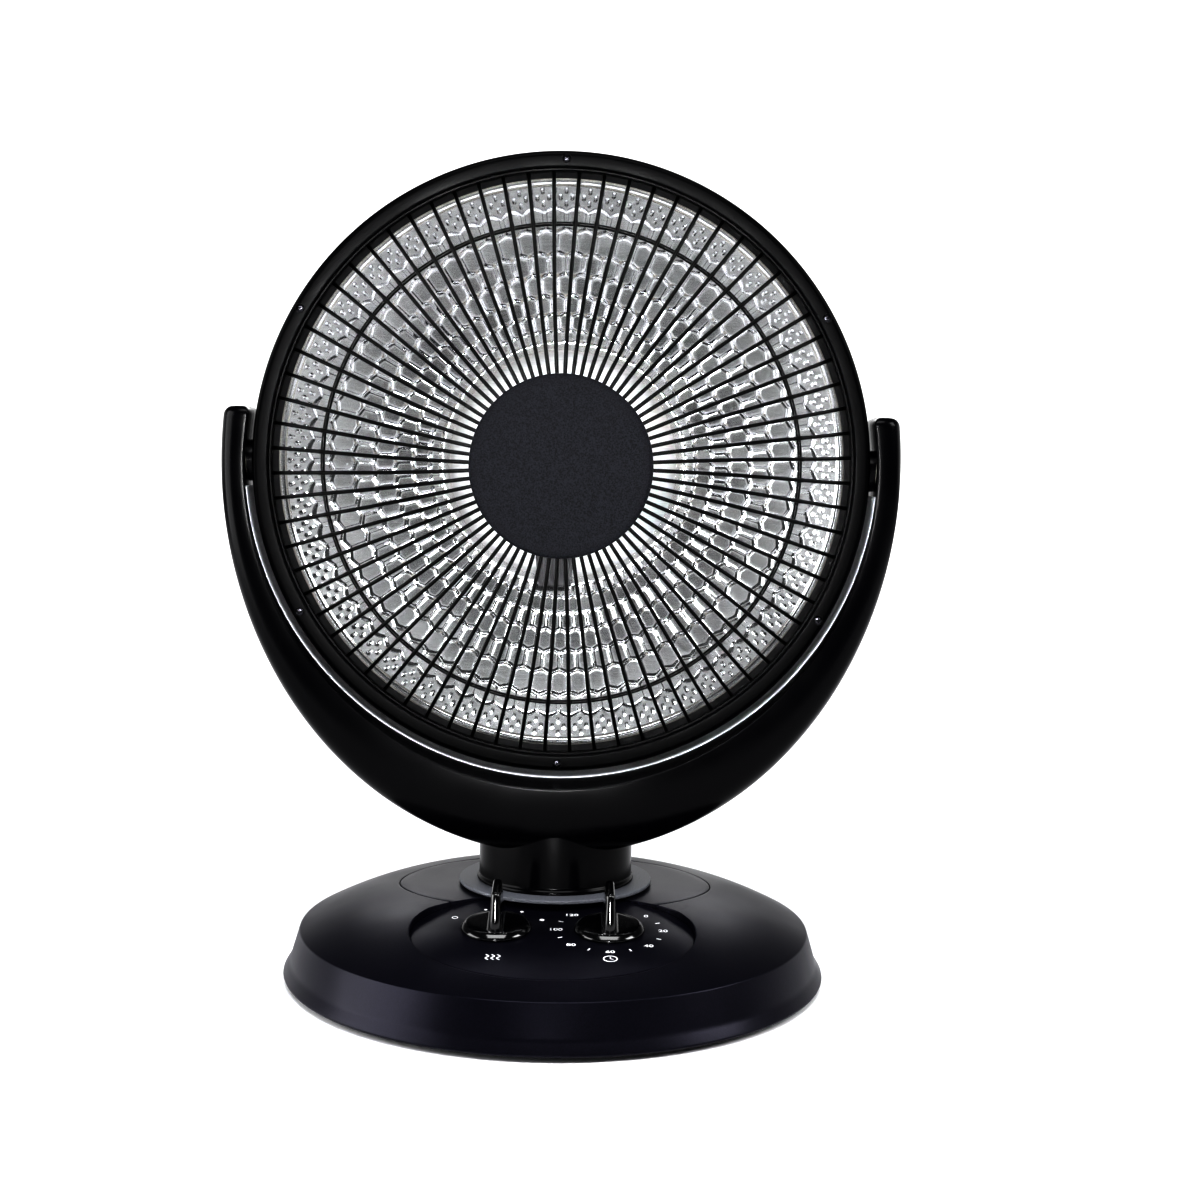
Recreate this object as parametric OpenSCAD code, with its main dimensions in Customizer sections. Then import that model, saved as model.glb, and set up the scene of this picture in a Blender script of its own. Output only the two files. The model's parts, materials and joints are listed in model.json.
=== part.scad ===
// Parabolic heater on a round base: a dish head with a domed wire guard hangs in a
// crescent yoke, tilts on two trunnions, and the yoke swivels on the base.
// Millimetres. Origin: middle of the base at the floor. Front is -Y, up is +Z.

/* [Base] */
// Radius of the base at its lower rim
base_r = 157; // [150:1:170]
// How far the upright rim leans in
rim_lean = 4; // [2:0.5:8]
// Height of the rim's upper edge
rim_z = 10.5; // [9:0.5:14]
// How far the crease between chamfer and dome lies inside the lower rim
chamfer_in = 9.5; // [7:0.5:14]
// Height of the crease
crease_z = 28.5; // [26:0.5:32]
// Radius where the dome has become flat
plateau_r = 84; // [78:1:92]
// Height of the flat top
plateau_z = 49; // [47:0.5:54]
// Wall of the moulded shell
base_wall = 3; // [2:0.25:3.5]
// Height of the feet under the base plate
foot_h = 3; // [2:0.25:4]
// Radius of one foot
foot_r = 9; // [6:0.5:11]
// Number of feet
foot_count = 5; // [4:1:8]
// Thickness of the bottom plate
plate_t = 2.2; // [1.5:0.1:3]
// Thickness of the steel ballast
ballast_t = 5; // [3:0.5:6]

/* [Control panel] */
// Half width of the oval panel
panel_a = 77.5; // [74:0.5:84]
// Half length of the oval panel along its slope
panel_b = 59; // [54:0.5:62]
// Forward slope of the panel in degrees
panel_tilt = 6.5; // [6:0.5:10]
// Y of the middle of the panel
panel_y = -74; // [-78:0.5:-70]
// Thickness of the panel plate
panel_t = 2.5; // [1.5:0.1:3]
// Distance between the two knobs
knob_pitch = 62; // [56:1:70]
// Radius of a knob's skirt
knob_r = 19.5; // [17:0.5:23]
// Height of a knob
knob_h = 25; // [18:0.5:27]
// Thickness of the upright grip at its top
grip_t = 4.6; // [4:0.2:7]
// Radius of the switch shafts
shaft_r = 3; // [2.5:0.1:3.5]

/* [Swivel] */
// Y of the upright swivel axis
neck_y = 14; // [10:1:18]
// Outer radius of the neck
neck_r = 45; // [40:0.5:46]
// Radius of the turntable disc
disc_r = 56.8; // [52:0.2:60]
// Thickness of the turntable disc
disc_t = 2.2; // [1.5:0.1:3]
// Radius of the hollow spindle
spindle_r = 20; // [17:0.5:22]
// Tooth module of the sector and its pinion
gear_m = 1.5; // [1.2:0.1:1.6]
// Teeth of a full circle of the sector
sector_teeth = 60; // [56:1:64]
// Teeth of the pinion
pinion_teeth = 12; // [12:1:14]
// Swing to each side in degrees
swing = 35; // [25:1:40]
// Thickness of the sector
sector_t = 5; // [4:0.5:6]
// Radius of the gear motor
motor_r = 25; // [20:0.5:26]
// Height of the gear motor
motor_h = 17; // [14:0.5:18]

/* [Yoke] */
// Height of the neck that shows under the yoke
neck_show = 13.5; // [10:0.5:24]
// Gap between the head's ring and the yoke
yoke_gap = 3.7; // [3.2:0.1:6]
// Thickness of an arm at the tilt axis
arm_t = 15.3; // [14:0.1:20]
// Thickness of the yoke at its lowest point
bowl_t = 48.3; // [42:0.1:54]
// Half depth of an arm, front to back
arm_d = 16; // [14:0.5:20]
// Half depth of the yoke at its bottom
bowl_d = 47; // [46.5:0.5:52]
// Height of the arm tops over the tilt axis
arm_top = 31; // [28:0.5:36]
// Wall of the two yoke shells
yoke_wall = 2.6; // [2:0.1:3.2]

/* [Head] */
// Radius of the dish at its rim
dish_r = 163.2; // [150:0.1:180]
// Width of the dish's flat rim that shows inside the ring
rim_show = 3.8; // [3:0.1:5]
// Width of the front ring, from its lip to its outside
ring_w = 11; // [10.5:0.1:14]
// Distance of the ring's front face from the tilt axis
ring_front = 14; // [12:0.5:16]
// Distance of the ring's rear edge behind the tilt axis
ring_back = 10; // [8:0.5:12]
// Thickness of the ring's face
ring_wall = 3; // [2:0.25:3.5]
// Wall of the ring's outer side
ring_side = 2.2; // [1.8:0.1:2.4]
// Depth of the dish
dish_depth = 69; // [60:1:76]
// Distance of the dish's rim behind the tilt axis
dish_rim = 3.7; // [2:0.1:6]
// Thickness of the dish's sheet
dish_t = 0.8; // [0.6:0.1:1.2]
// Space between the dish and the back of the rear housing
back_space = 27.3; // [25:0.1:40]
// Wall of the rear housing
housing_wall = 2.5; // [2:0.1:3]

/* [Guard] */
// Number of spokes
spoke_count = 72; // [48:4:80]
// Diameter of a spoke
spoke_d = 2.2; // [1.6:0.1:2.4]
// Radius of the curve that the spokes follow
spoke_bend_r = 216; // [205:1:240]
// Radius where the spokes run level
spoke_level_r = 45; // [40:1:50]
// Radius of the middle ring
mid_ring_r = 137; // [125:1:145]
// Diameter of the middle ring's wire
mid_ring_d = 2.5; // [2:0.1:3]
// Diameter of the outer ring's wire
rim_ring_d = 3; // [2.4:0.1:3]
// Radius of the round cap in the middle
hub_r = 51.3; // [48:0.1:56]
// Thickness of the cap
hub_t = 5; // [4:0.5:7]

/* [Heating element] */
// Radius of the ceramic core at its foot
core_r = 15; // [12:0.5:17]
// Radius of the ceramic core at its tip
core_tip_r = 11; // [9:0.5:13]
// Length of the ceramic core
core_l = 64; // [54:1:72]
// Number of loops of the heating wire
coil_loops = 22; // [12:1:24]
// Diameter of the wound heating wire
coil_d = 1.6; // [1.2:0.1:1.8]

/* [Hidden] */

$fn = 96;
fit = 0.05;             // radial gap of a press or running fit
gap = 0.2;              // gap between pieces that lie side by side
eps = 0.01;             // overlap of cutting bodies
big = 400;              // size of a cutting body

// ---- heights and circles in the base
crease_r = base_r - chamfer_in;
base_screw_r = base_r - 16;
foot_ring_r = base_r - 25;
plate_z = foot_h;
plate_top = plate_z + plate_t;
shell_z = plate_z - 0.5;
island_t = 2.5;
island_z = plateau_z - island_t;
cavity_z = island_z - base_wall;
dome_steps = 12;

// ---- control panel
panel_back_y = panel_y + panel_b * cos(panel_tilt);
panel_z = plateau_z - (panel_back_y - panel_y) * tan(panel_tilt);
panel_seat = -panel_t;
panel_under = panel_seat - base_wall + 0.5;
knob_y = 7;
knob_lift = 0.5;
knob_skirt_h = 4;
grip_flare = 1.6;
grip_low_y = 14;
grip_top_y = 9.5;
switch_bush_r = 4.5;
switch_drop = panel_under;
switch_w = 32;
switch_l = 28;
switch_h = 16;
timer_r = 23;
timer_h = 19;
heat_shaft_in = 7;
timer_shaft_in = 9;

// ---- circles of the head and the yoke
lip_r = dish_r + rim_show;
ring_r = lip_r + ring_w;
yoke_in_r = ring_r + yoke_gap;
yoke_a = yoke_in_r + arm_t;
yoke_b = yoke_in_r + bowl_t;

// ---- swivel
bearing_flange_t = 1.2;
bearing_wall = 4;
bearing_r = spindle_r + fit + bearing_wall;
bearing_low = cavity_z - 5.5;
disc_z = plateau_z + bearing_flange_t + 0.1;
disc_top = disc_z + disc_t;
neck_wall = 4;
yoke_floor = 14;        // solid of the yoke over the neck's top
neck_floor_t = 3.5;
pivot_z = disc_top + neck_show + yoke_b;
neck_top = pivot_z - yoke_in_r - yoke_floor;
sector_z = bearing_low - gap - sector_t;
retainer_t = 2.6;
spindle_low = sector_z;
spindle_bore = spindle_r - 4;
sector_r = gear_m * sector_teeth / 2;
pinion_r = gear_m * pinion_teeth / 2;
backlash = 0.3;
pinion_y = neck_y + sector_r + pinion_r + 0.1;
pinion_over = 1;
motor_z = plate_top + 2.5;
motor_top = motor_z + motor_h;
pinion_shaft_r = 3;
pinion_shaft_in = 7;
sector_span = floor((swing + 12) / (360 / sector_teeth));

// ---- tip-over switch
tip_x = -82;
tip_y = 46;
tip_travel = 5;
tip_rod_r = 4;
tip_collar_z = plate_top + tip_travel + 0.4;
tip_collar_t = 2;
tip_seat_z = plate_top + 18;
tip_seat_t = 2;
tip_rod_top = tip_seat_z + tip_seat_t + 1.5;

// ---- head
ring_in = ring_r - ring_side;
lip_t = 1.6;
lip_top = ring_front - 3.2;
lip_low = lip_top - lip_t;
face_in = lip_r + 1.5;
channel_r = face_in + ring_wall - 0.1;
screw_ring_r = (channel_r + ring_in) / 2;
screw_angles = [30, 90, 150, 210, 270, 330];
screw_head_r = 2.4;
screw_head_t = 1.5;
screw_shank_r = 1.6;
head_screw_l = 18;
post_r = 3.3;
rim_wire_r = rim_ring_d / 2;
spoke_r = spoke_d / 2;
spoke_end_r = lip_r + 1.1;
flange_r = lip_r + 2.2;
housing_depth = dish_rim + dish_depth + back_space;
lip_clear = 0.2;
post_top = lip_low - lip_clear - 2 * rim_wire_r - 0.5;
socket_r = 19;
bracket_len = 75;

// the level part of the guard stands so far out that its rim wire lies under the lip
guard_z = lip_low - lip_clear - rim_wire_r - (rim_wire_r + spoke_r) * cos(spoke_tilt(spoke_end_r))
    + spoke_bend_r - sqrt(pow(spoke_bend_r, 2) - pow(spoke_end_r - spoke_level_r, 2));
// point on the spokes' curve at radius r, as [radius, height]
function spoke_z(r) = guard_z - spoke_bend_r + sqrt(pow(spoke_bend_r, 2) - pow(r - spoke_level_r, 2));
function spoke_tilt(r) = asin((r - spoke_level_r) / spoke_bend_r);
// centre of a ring wire of radius w laid on the spokes at radius r, side 1 outside, -1 inside
function on_spoke(r, w, side) = [r + side * (w + spoke_r) * sin(spoke_tilt(r)),
    spoke_z(r) + side * (w + spoke_r) * cos(spoke_tilt(r))];
rim_hoop_spot = on_spoke(spoke_end_r - 0.2, rim_wire_r + 0.01, 1);
// height of the dish at radius r, measured forward from the tilt axis
function dish_z(r) = -dish_rim - dish_depth * (1 - pow(r / dish_r, 2));
function mix(a, b, t) = a + (b - a) * t;
function bezier(a, b, c, t) = a * pow(1 - t, 2) + b * 2 * t * (1 - t) + c * t * t;
function ellipse(a, b, n = 96) = [for (i = [0:n - 1]) [a * cos(i * 360 / n), b * sin(i * 360 / n)]];

// ---- frames
module head_frame() translate([0, neck_y, pivot_z]) rotate([90, 0, 0]) children();
module panel_frame() translate([0, panel_y, panel_z]) rotate([panel_tilt, 0, 0]) children();
module on_neck() translate([0, neck_y, 0]) children();
module both_sides() {
    children();
    mirror([1, 0, 0]) children();
}
module ring_of(r, angles) for (a = angles) rotate(a) translate([r, 0, 0]) children();
module tube(r_out, r_in, h) difference() {
    cylinder(r = r_out, h = h);
    translate([0, 0, -1]) cylinder(r = r_in, h = h + 2);
}

// ---- base ----------------------------------------------------------------
// half section of the dome, moved inwards by w
function dome_section(w) = concat(
    [[0, shell_z], [base_r - 1.5 - w, shell_z], [base_r - w, shell_z + 1.5],
     [base_r - rim_lean - w, rim_z], [crease_r - w, crease_z - w * 0.5]],
    [for (i = [1:dome_steps]) bezier([crease_r - w, crease_z - w * 0.5],
        [mix(plateau_r, crease_r, 0.45) - w * 0.3, plateau_z - 2 - w],
        [plateau_r, plateau_z - w], i / dome_steps)],
    [[0, plateau_z - w]]);
module dome_solid() rotate_extrude() polygon(dome_section(0));
// the cavity lies one more wall down, so that the panel's seat keeps a floor at its front edge
module shell_cavity() {
    intersection() {
        translate([0, 0, -base_wall]) rotate_extrude() polygon(dome_section(base_wall));
        translate([-big / 2, -big / 2, 0]) cube([big, big, cavity_z]);
        panel_frame() translate([-big / 2, -big / 2, panel_under - big]) cube([big, big, big]);
    }
    translate([0, 0, shell_z - 1]) cylinder(r = base_r - base_wall - 1.5, h = plate_t + 2);
}
module panel_oval(grow, low, high) panel_frame() translate([0, 0, low])
    linear_extrude(high - low) polygon(ellipse(panel_a + grow, panel_b + grow));
island_a = 92;
island_b = 63;
module island_oval(grow, low, high) on_neck() translate([0, 0, low])
    linear_extrude(high - low) polygon(ellipse(island_a + grow, island_b + grow));
base_screw_count = 5;
base_screw_shank_r = 1.6;
base_screw_l = 13;
base_screw_angles = [for (i = [0:base_screw_count - 1]) 54 + i * 360 / base_screw_count];
module shaft_holes(r) panel_frame() for (s = [-1, 1]) translate([s * knob_pitch / 2, knob_y, -30])
    cylinder(r = r, h = 60);
gland_z = 16.5;
gland_r = 6.8;
gland_collar_r = 9.2;
gland_out_y = base_r - 0.6;
gland_seat_y = gland_out_y - 6.8;
gland_in_y = gland_out_y - 16;
cord_r = 3.6;
module along_y(y0, y1, r) translate([0, y0, gland_z]) rotate([-90, 0, 0]) cylinder(r = r, h = y1 - y0);

module base_shell() color([0.1, 0.1, 0.11]) difference() {
    union() {
        difference() {
            dome_solid();
            shell_cavity();
        }
        intersection() {
            dome_solid();
            union() {
                ring_of(base_screw_r, base_screw_angles) translate([0, 0, plate_top])
                    cylinder(r = 4.5, h = plateau_z);
                on_neck() translate([0, 0, bearing_low])
                    cylinder(r = bearing_r + fit + 4, h = cavity_z - bearing_low + 1);
            }
        }
    }
    island_oval(0.15, island_z, big);
    panel_oval(0.15, panel_seat, big);
    on_neck() cylinder(r = bearing_r + fit, h = big);
    shaft_holes(switch_bush_r + gap);
    ring_of(base_screw_r, base_screw_angles) translate([0, 0, plate_top - 1])
        cylinder(r = base_screw_shank_r, h = base_screw_l);
    along_y(gland_in_y - 5, big, gland_r + fit);
    along_y(gland_seat_y, big, gland_collar_r + 0.1);
}
module neck_island() color([0.11, 0.11, 0.12]) difference() {
    intersection() {
        dome_solid();
        island_oval(0, island_z, plateau_z + 1);
    }
    panel_oval(0.15, panel_seat - 5, big);
    on_neck() cylinder(r = bearing_r + fit, h = big);
}
vent_count = 20;
vent_r = 40;
vent_l = 14;
vent_w = 3;
ear_out = 4;
ear_r = 5;
ear_t = 1.2;
motor_screw_l = 10;
motor_screw_r = 1.25;
module at_motor_ears() for (s = [-1, 1]) translate([s * (motor_r + ear_out), pinion_y, 0]) children();
module base_plate() color([0.14, 0.14, 0.15]) difference() {
    union() {
        translate([0, 0, plate_z]) cylinder(r = base_r - base_wall - 1.5 - gap, h = plate_t);
        at_motor_ears() translate([0, 0, plate_top - eps])
            cylinder(r = 4, h = motor_top - ear_t - plate_top);
    }
    ring_of(base_screw_r, base_screw_angles) translate([0, 0, plate_z - 1]) cylinder(r = 1.8, h = 6);
    at_motor_ears() translate([0, 0, motor_top - motor_screw_l - 2])
        cylinder(r = motor_screw_r, h = motor_screw_l + 4);
    translate([tip_x, tip_y, 0]) cylinder(r = tip_rod_r + 0.3, h = 20);
    for (i = [0:vent_count - 1]) rotate(i * 360 / vent_count)
        translate([vent_r, -vent_w / 2, plate_z - 1]) cube([vent_l, vent_w, plate_t + 2]);
}
ballast_in = 62;
ballast_out = base_screw_r - 13;
module ballast_plate() color([0.35, 0.35, 0.37]) translate([0, 0, plate_top]) rotate(195)
    rotate_extrude(angle = 150) translate([ballast_in, 0]) square([ballast_out - ballast_in, ballast_t]);
module rubber_feet() color([0.06, 0.06, 0.06]) for (i = [0:foot_count - 1])
    rotate(90 + i * 360 / foot_count) translate([foot_ring_r, 0, 0]) rotate_extrude()
        polygon([[0, 0], [foot_r - 1, 0], [foot_r, 1], [foot_r - 0.4, foot_h], [0, foot_h]]);
module base_screws() color([0.5, 0.5, 0.52]) ring_of(base_screw_r, base_screw_angles) {
    translate([0, 0, plate_z - 1.8]) cylinder(r = 3.2, h = 1.8);
    translate([0, 0, plate_z - eps]) cylinder(r = base_screw_shank_r - fit, h = base_screw_l);
}
module cord_gland() color([0.09, 0.09, 0.09]) difference() {
    union() {
        along_y(gland_in_y, gland_seat_y + eps, gland_r);
        translate([0, gland_seat_y, gland_z]) rotate([-90, 0, 0])
            cylinder(r1 = gland_collar_r, r2 = gland_collar_r - 1.6, h = gland_out_y - gland_seat_y);
    }
    along_y(gland_in_y - 1, gland_out_y + 1, cord_r);
}

// ---- inside the base -------------------------------------------------------
module swivel_bearing() color([0.85, 0.84, 0.8]) on_neck() difference() {
    union() {
        translate([0, 0, bearing_low]) cylinder(r = bearing_r, h = plateau_z - bearing_low + eps);
        translate([0, 0, plateau_z]) cylinder(r = bearing_r + 4, h = bearing_flange_t);
    }
    cylinder(r = spindle_r + fit, h = big);
}
motor_boss_r = 7;
module osc_motor() color([0.75, 0.73, 0.68]) difference() {
    union() {
        translate([0, pinion_y, motor_z]) cylinder(r = motor_r, h = motor_h);
        translate([0, pinion_y, motor_top - eps]) cylinder(r = motor_boss_r, h = 2);
        at_motor_ears() translate([0, 0, motor_top - ear_t]) cylinder(r = ear_r, h = ear_t);
        translate([-motor_r - ear_out, pinion_y - 3.5, motor_top - ear_t])
            cube([2 * (motor_r + ear_out), 7, ear_t]);
    }
    translate([0, pinion_y, motor_top - pinion_shaft_in - 1]) cylinder(r = pinion_shaft_r + fit, h = 12);
    at_motor_ears() translate([0, 0, motor_top - 3]) cylinder(r = motor_screw_r + 0.45, h = 5);
}
module motor_screws() color([0.6, 0.6, 0.62]) at_motor_ears() {
    translate([0, 0, motor_top]) cylinder(r = 3, h = 1.8);
    translate([0, 0, motor_top - motor_screw_l]) cylinder(r = motor_screw_r - fit, h = motor_screw_l + eps);
}
tip_size = [24, 10, 11];
tip_seat_w = 28;
tip_seat_l = 16;
tip_leg_t = 3;
module tip_bracket() color([0.8, 0.8, 0.76]) translate([tip_x, tip_y, 0]) difference() {
    union() {
        translate([-tip_seat_w / 2, -tip_seat_l / 2, tip_seat_z])
            cube([tip_seat_w, tip_seat_l, tip_seat_t]);
        for (s = [-1, 1])
            translate([s * (tip_seat_w - tip_leg_t) / 2 - tip_leg_t / 2, -tip_seat_l / 2, plate_top])
                cube([tip_leg_t, tip_seat_l, tip_seat_z - plate_top + eps]);
    }
    cylinder(r = tip_rod_r + 0.3, h = big);
}
module tip_switch() color([0.15, 0.15, 0.16])
    translate([tip_x, tip_y, tip_seat_z + tip_seat_t]) difference() {
        translate([-tip_size[0] / 2, -tip_size[1] / 2, 0]) cube(tip_size);
        translate([0, 0, -1]) cylinder(r = tip_rod_r + 1, h = 4.5);
    }
block_r = base_r - 45;
block_at = 59;
block_size = [36, 18, 12];
module terminal_block() color([0.86, 0.85, 0.8]) rotate(block_at) translate([block_r, 0, plate_top])
    rotate(-91) difference() {
        translate([-block_size[0] / 2, -block_size[1] / 2, 0]) cube(block_size);
        for (i = [-1:1]) translate([i * 11, 0, 4]) cylinder(r = 3, h = block_size[2]);
    }
module at_dial(side) panel_frame() translate([side * knob_pitch / 2, knob_y, 0]) children();
module heat_switch() color([0.12, 0.12, 0.13]) at_dial(-1) difference() {
    union() {
        translate([-switch_w / 2, -switch_l / 2, switch_drop - switch_h])
            cube([switch_w, switch_l, switch_h]);
        translate([0, 0, switch_drop - eps]) cylinder(r = switch_bush_r, h = -switch_drop - 0.3);
    }
    translate([0, 0, switch_drop - heat_shaft_in - 1]) cylinder(r = shaft_r + fit, h = big);
}
module timer_unit() color([0.7, 0.68, 0.62]) at_dial(1) difference() {
    union() {
        translate([0, 0, switch_drop - timer_h]) cylinder(r = timer_r, h = timer_h);
        translate([0, 0, switch_drop - eps]) cylinder(r = switch_bush_r, h = -switch_drop - 0.3);
    }
    translate([0, 0, switch_drop - timer_shaft_in - 1]) cylinder(r = shaft_r + fit, h = big);
}
module control_fascia() color([0.1, 0.1, 0.12]) difference() {
    panel_oval(0, panel_seat, 0);
    shaft_holes(switch_bush_r + gap);
}

// ---- knobs -------------------------------------------------------------------
module shaft(depth) translate([0, 0, switch_drop - depth + 0.3])
    cylinder(r = shaft_r, h = -switch_drop + depth + knob_lift + knob_skirt_h + 6);
module knob() translate([0, 0, knob_lift]) difference() {
    union() {
        rotate_extrude() polygon([[0, 0], [knob_r, 0], [knob_r, 1.2], [knob_r - 2.2, knob_skirt_h - 0.6],
            [knob_r - 4, knob_skirt_h], [0, knob_skirt_h]]);
        hull() {
            for (s = [-1, 1]) translate([0, s * grip_low_y, knob_skirt_h - 1])
                cylinder(r = grip_t / 2 + grip_flare, h = 1, $fn = 24);
            for (s = [-1, 1]) translate([0, s * grip_top_y, knob_h - grip_t / 2 - knob_lift])
                sphere(r = grip_t / 2, $fn = 24);
        }
    }
    translate([0, 0, -1]) cylinder(r = switch_bush_r + 1.5, h = 2);
    translate([0, 0, -1]) cylinder(r = shaft_r + fit, h = 1 + knob_skirt_h + 6.4);
}
module heat_shaft() color([0.7, 0.7, 0.72]) at_dial(-1) shaft(heat_shaft_in);
module heat_knob() color([0.07, 0.07, 0.08]) at_dial(-1) knob();
module timer_shaft() color([0.7, 0.7, 0.72]) at_dial(1) shaft(timer_shaft_in);
module timer_knob() color([0.07, 0.07, 0.08]) at_dial(1) knob();

// ---- tip-over plunger ----------------------------------------------------------
module tip_plunger() color([0.85, 0.2, 0.12]) translate([tip_x, tip_y, 0]) {
    cylinder(r = tip_rod_r, h = tip_rod_top);
    translate([0, 0, tip_collar_z]) cylinder(r = tip_rod_r + 3.5, h = tip_collar_t);
}
module plunger_spring() color([0.7, 0.7, 0.72]) translate([tip_x, tip_y, tip_collar_z + tip_collar_t])
    tube(tip_rod_r + 2.2, tip_rod_r + 1.2, tip_seat_z - tip_collar_z - tip_collar_t);

// ---- gear pair -------------------------------------------------------------------
pressure = 25;
function involute(a) = tan(a) - a * PI / 180;
// angle from the flank at the pitch circle to the flank at radius r
function flank_turn(r_b, r) = (involute(pressure) - involute(acos(min(1, r_b / r)))) * 180 / PI;
// one flank of a tooth, from root to tip, as [radius, half angle]
function flank(teeth, steps = 5) = let (
        r_p = gear_m * teeth / 2,
        r_b = r_p * cos(pressure),
        r_tip = r_p + gear_m * 0.95,
        r_low = max(r_b, r_p - gear_m * 0.9),
        half = 90 / teeth - backlash / 4 / r_p * 180 / PI)
    concat([[r_p - gear_m * 1.2, half + flank_turn(r_b, r_low)]],
        [for (i = [0:steps]) let (r = mix(r_low, r_tip, i / steps)) [r, half + flank_turn(r_b, r)]]);
function tooth(teeth, at) = let (f = flank(teeth), n = len(f)) concat(
    [for (i = [0:n - 1]) f[i][0] * [cos(at - f[i][1]), sin(at - f[i][1])]],
    [for (i = [n - 1:-1:0]) f[i][0] * [cos(at + f[i][1]), sin(at + f[i][1])]]);
module pinion_outline() polygon([for (i = [0:pinion_teeth - 1])
    each tooth(pinion_teeth, -90 + (i + 0.5) * 360 / pinion_teeth)]);
module sector_outline() polygon(concat([[0, 0]], [for (i = [-sector_span:sector_span])
    each tooth(sector_teeth, 90 + i * 360 / sector_teeth)]));
module drive_pinion() color([0.9, 0.88, 0.82]) translate([0, pinion_y, 0]) {
    translate([0, 0, sector_z - pinion_over]) linear_extrude(sector_t + 2 * pinion_over) pinion_outline();
    translate([0, 0, motor_top - pinion_shaft_in])
        cylinder(r = pinion_shaft_r, h = sector_z - pinion_over - motor_top + pinion_shaft_in + eps);
}
module sector_gear() color([0.9, 0.88, 0.82]) on_neck() translate([0, 0, sector_z]) difference() {
    union() {
        linear_extrude(sector_t) sector_outline();
        cylinder(r = spindle_r + 7, h = sector_t);
    }
    translate([0, 0, -1]) cylinder(r = spindle_r + fit, h = sector_t + 2);
}

// ---- turntable and neck --------------------------------------------------------------
module turntable() color([0.32, 0.33, 0.34]) on_neck() difference() {
    translate([0, 0, disc_z]) rotate_extrude() polygon([[0, 0], [disc_r - 0.6, 0], [disc_r, 0.6],
        [disc_r, disc_t - 0.5], [disc_r - 0.5, disc_t], [0, disc_t]]);
    cylinder(r = spindle_r + fit, h = big);
}
module neck() color([0.07, 0.07, 0.08]) on_neck() difference() {
    union() {
        translate([0, 0, disc_top]) rotate_extrude() polygon([[0, 0], [neck_r + 0.8, 0],
            [neck_r + 0.8, 1.4], [neck_r, 2.2], [neck_r, neck_top - disc_top], [0, neck_top - disc_top]]);
        translate([0, 0, spindle_low]) cylinder(r = spindle_r, h = disc_top - spindle_low + eps);
    }
    translate([0, 0, disc_top + neck_floor_t])
        cylinder(r = neck_r - neck_wall, h = neck_top - disc_top - neck_floor_t - 3);
    cylinder(r = spindle_bore, h = disc_top + 10);
    translate([0, 0, neck_top - 4]) cylinder(r = 12, h = 6);
}
module spindle_retainer() color([0.6, 0.6, 0.62]) on_neck()
    translate([0, 0, spindle_low - retainer_t]) tube(spindle_r + 5, spindle_bore, retainer_t);

// ---- yoke ------------------------------------------------------------------------------
yoke_turn = 30;          // stations on a quarter of the crescent
yoke_curve = 9;          // points over half of its cross-section
// one station is [inner x, inner z, outer x, outer z, half depth, squareness]
function outer_r(a) = yoke_a * yoke_b / sqrt(pow(yoke_b * cos(a), 2) + pow(yoke_a * sin(a), 2));
function quarter_station(a, w) = let (s = pow(sin(a), 2), ri = yoke_in_r + w, ro = outer_r(a) - w)
    [ri * cos(a), -ri * sin(a), ro * cos(a), -ro * sin(a), mix(arm_d, bowl_d, s) - w, mix(2.8, 4.2, s)];
cap_r = 5;
arm_in_top = ring_r + 0.6;
function arm_x(h) = mix(yoke_in_r, arm_in_top, pow(h / arm_top, 1.5));
function arm_station(h, inset) = [arm_x(h) + inset, h, yoke_a * sqrt(1 - pow(h / yoke_b, 2)) - inset, h,
    arm_d - inset, 2.8];
function arm_tip() = [for (i = [0:4]) let (a = 90 - i * 22.5)
    arm_station(arm_top - cap_r + cap_r * sin(a), cap_r * (1 - cos(a)))];
function half_stations() = concat(arm_tip(), [for (h = [18, 9]) arm_station(h, 0)],
    [for (i = [0:yoke_turn]) quarter_station(i * 90 / yoke_turn, 0)]);
function flip(s) = [-s[0], s[1], -s[2], s[3], s[4], s[5]];
function full(half) = concat(half, [for (i = [len(half) - 2:-1:0]) flip(half[i])]);
// half of a cross-section, from the inner edge over the face to the outermost line
function section(s, side) = concat(
    [for (i = [0:yoke_curve]) let (t = 90 * i / yoke_curve, e = 2 / s[5],
            u = pow(sin(t), e), v = pow(cos(t), e))
        [mix(s[0], s[2], u), side * s[4] * v, mix(s[1], s[3], u)]],
    [[s[0], 0, s[1]]]);
module loft(stations, side) {
    n = yoke_curve + 2;
    m = len(stations);
    pts = [for (s = stations) each section(s, side)];
    walls = [for (j = [0:m - 2], i = [0:n - 1]) let (k = (i + 1) % n)
        each [[j * n + i, j * n + k, (j + 1) * n + i], [j * n + k, (j + 1) * n + k, (j + 1) * n + i]]];
    cap_a = [for (i = [n - 1:-1:0]) i];
    cap_b = [for (i = [0:n - 1]) (m - 1) * n + i];
    faces = concat([cap_a], walls, [cap_b]);
    polyhedron(pts, side < 0 ? faces : [for (f = faces) [for (i = [len(f) - 1:-1:0]) f[i]]], convexity = 8);
}
module yoke_frame() translate([0, neck_y, pivot_z]) children();
cavity_turn = 16;
cavity_from = 12;
cavity_to = 58;
function cavity_stations() = [for (i = [0:cavity_turn])
    quarter_station(mix(cavity_from, cavity_to, i / cavity_turn), yoke_wall)];
boss_r = 12.5;
bush_r = 9;
bush_in = yoke_in_r + 0.3;
bush_cover = 7;
bush_out = yoke_a - bush_cover;
pin_r = 5;
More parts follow.
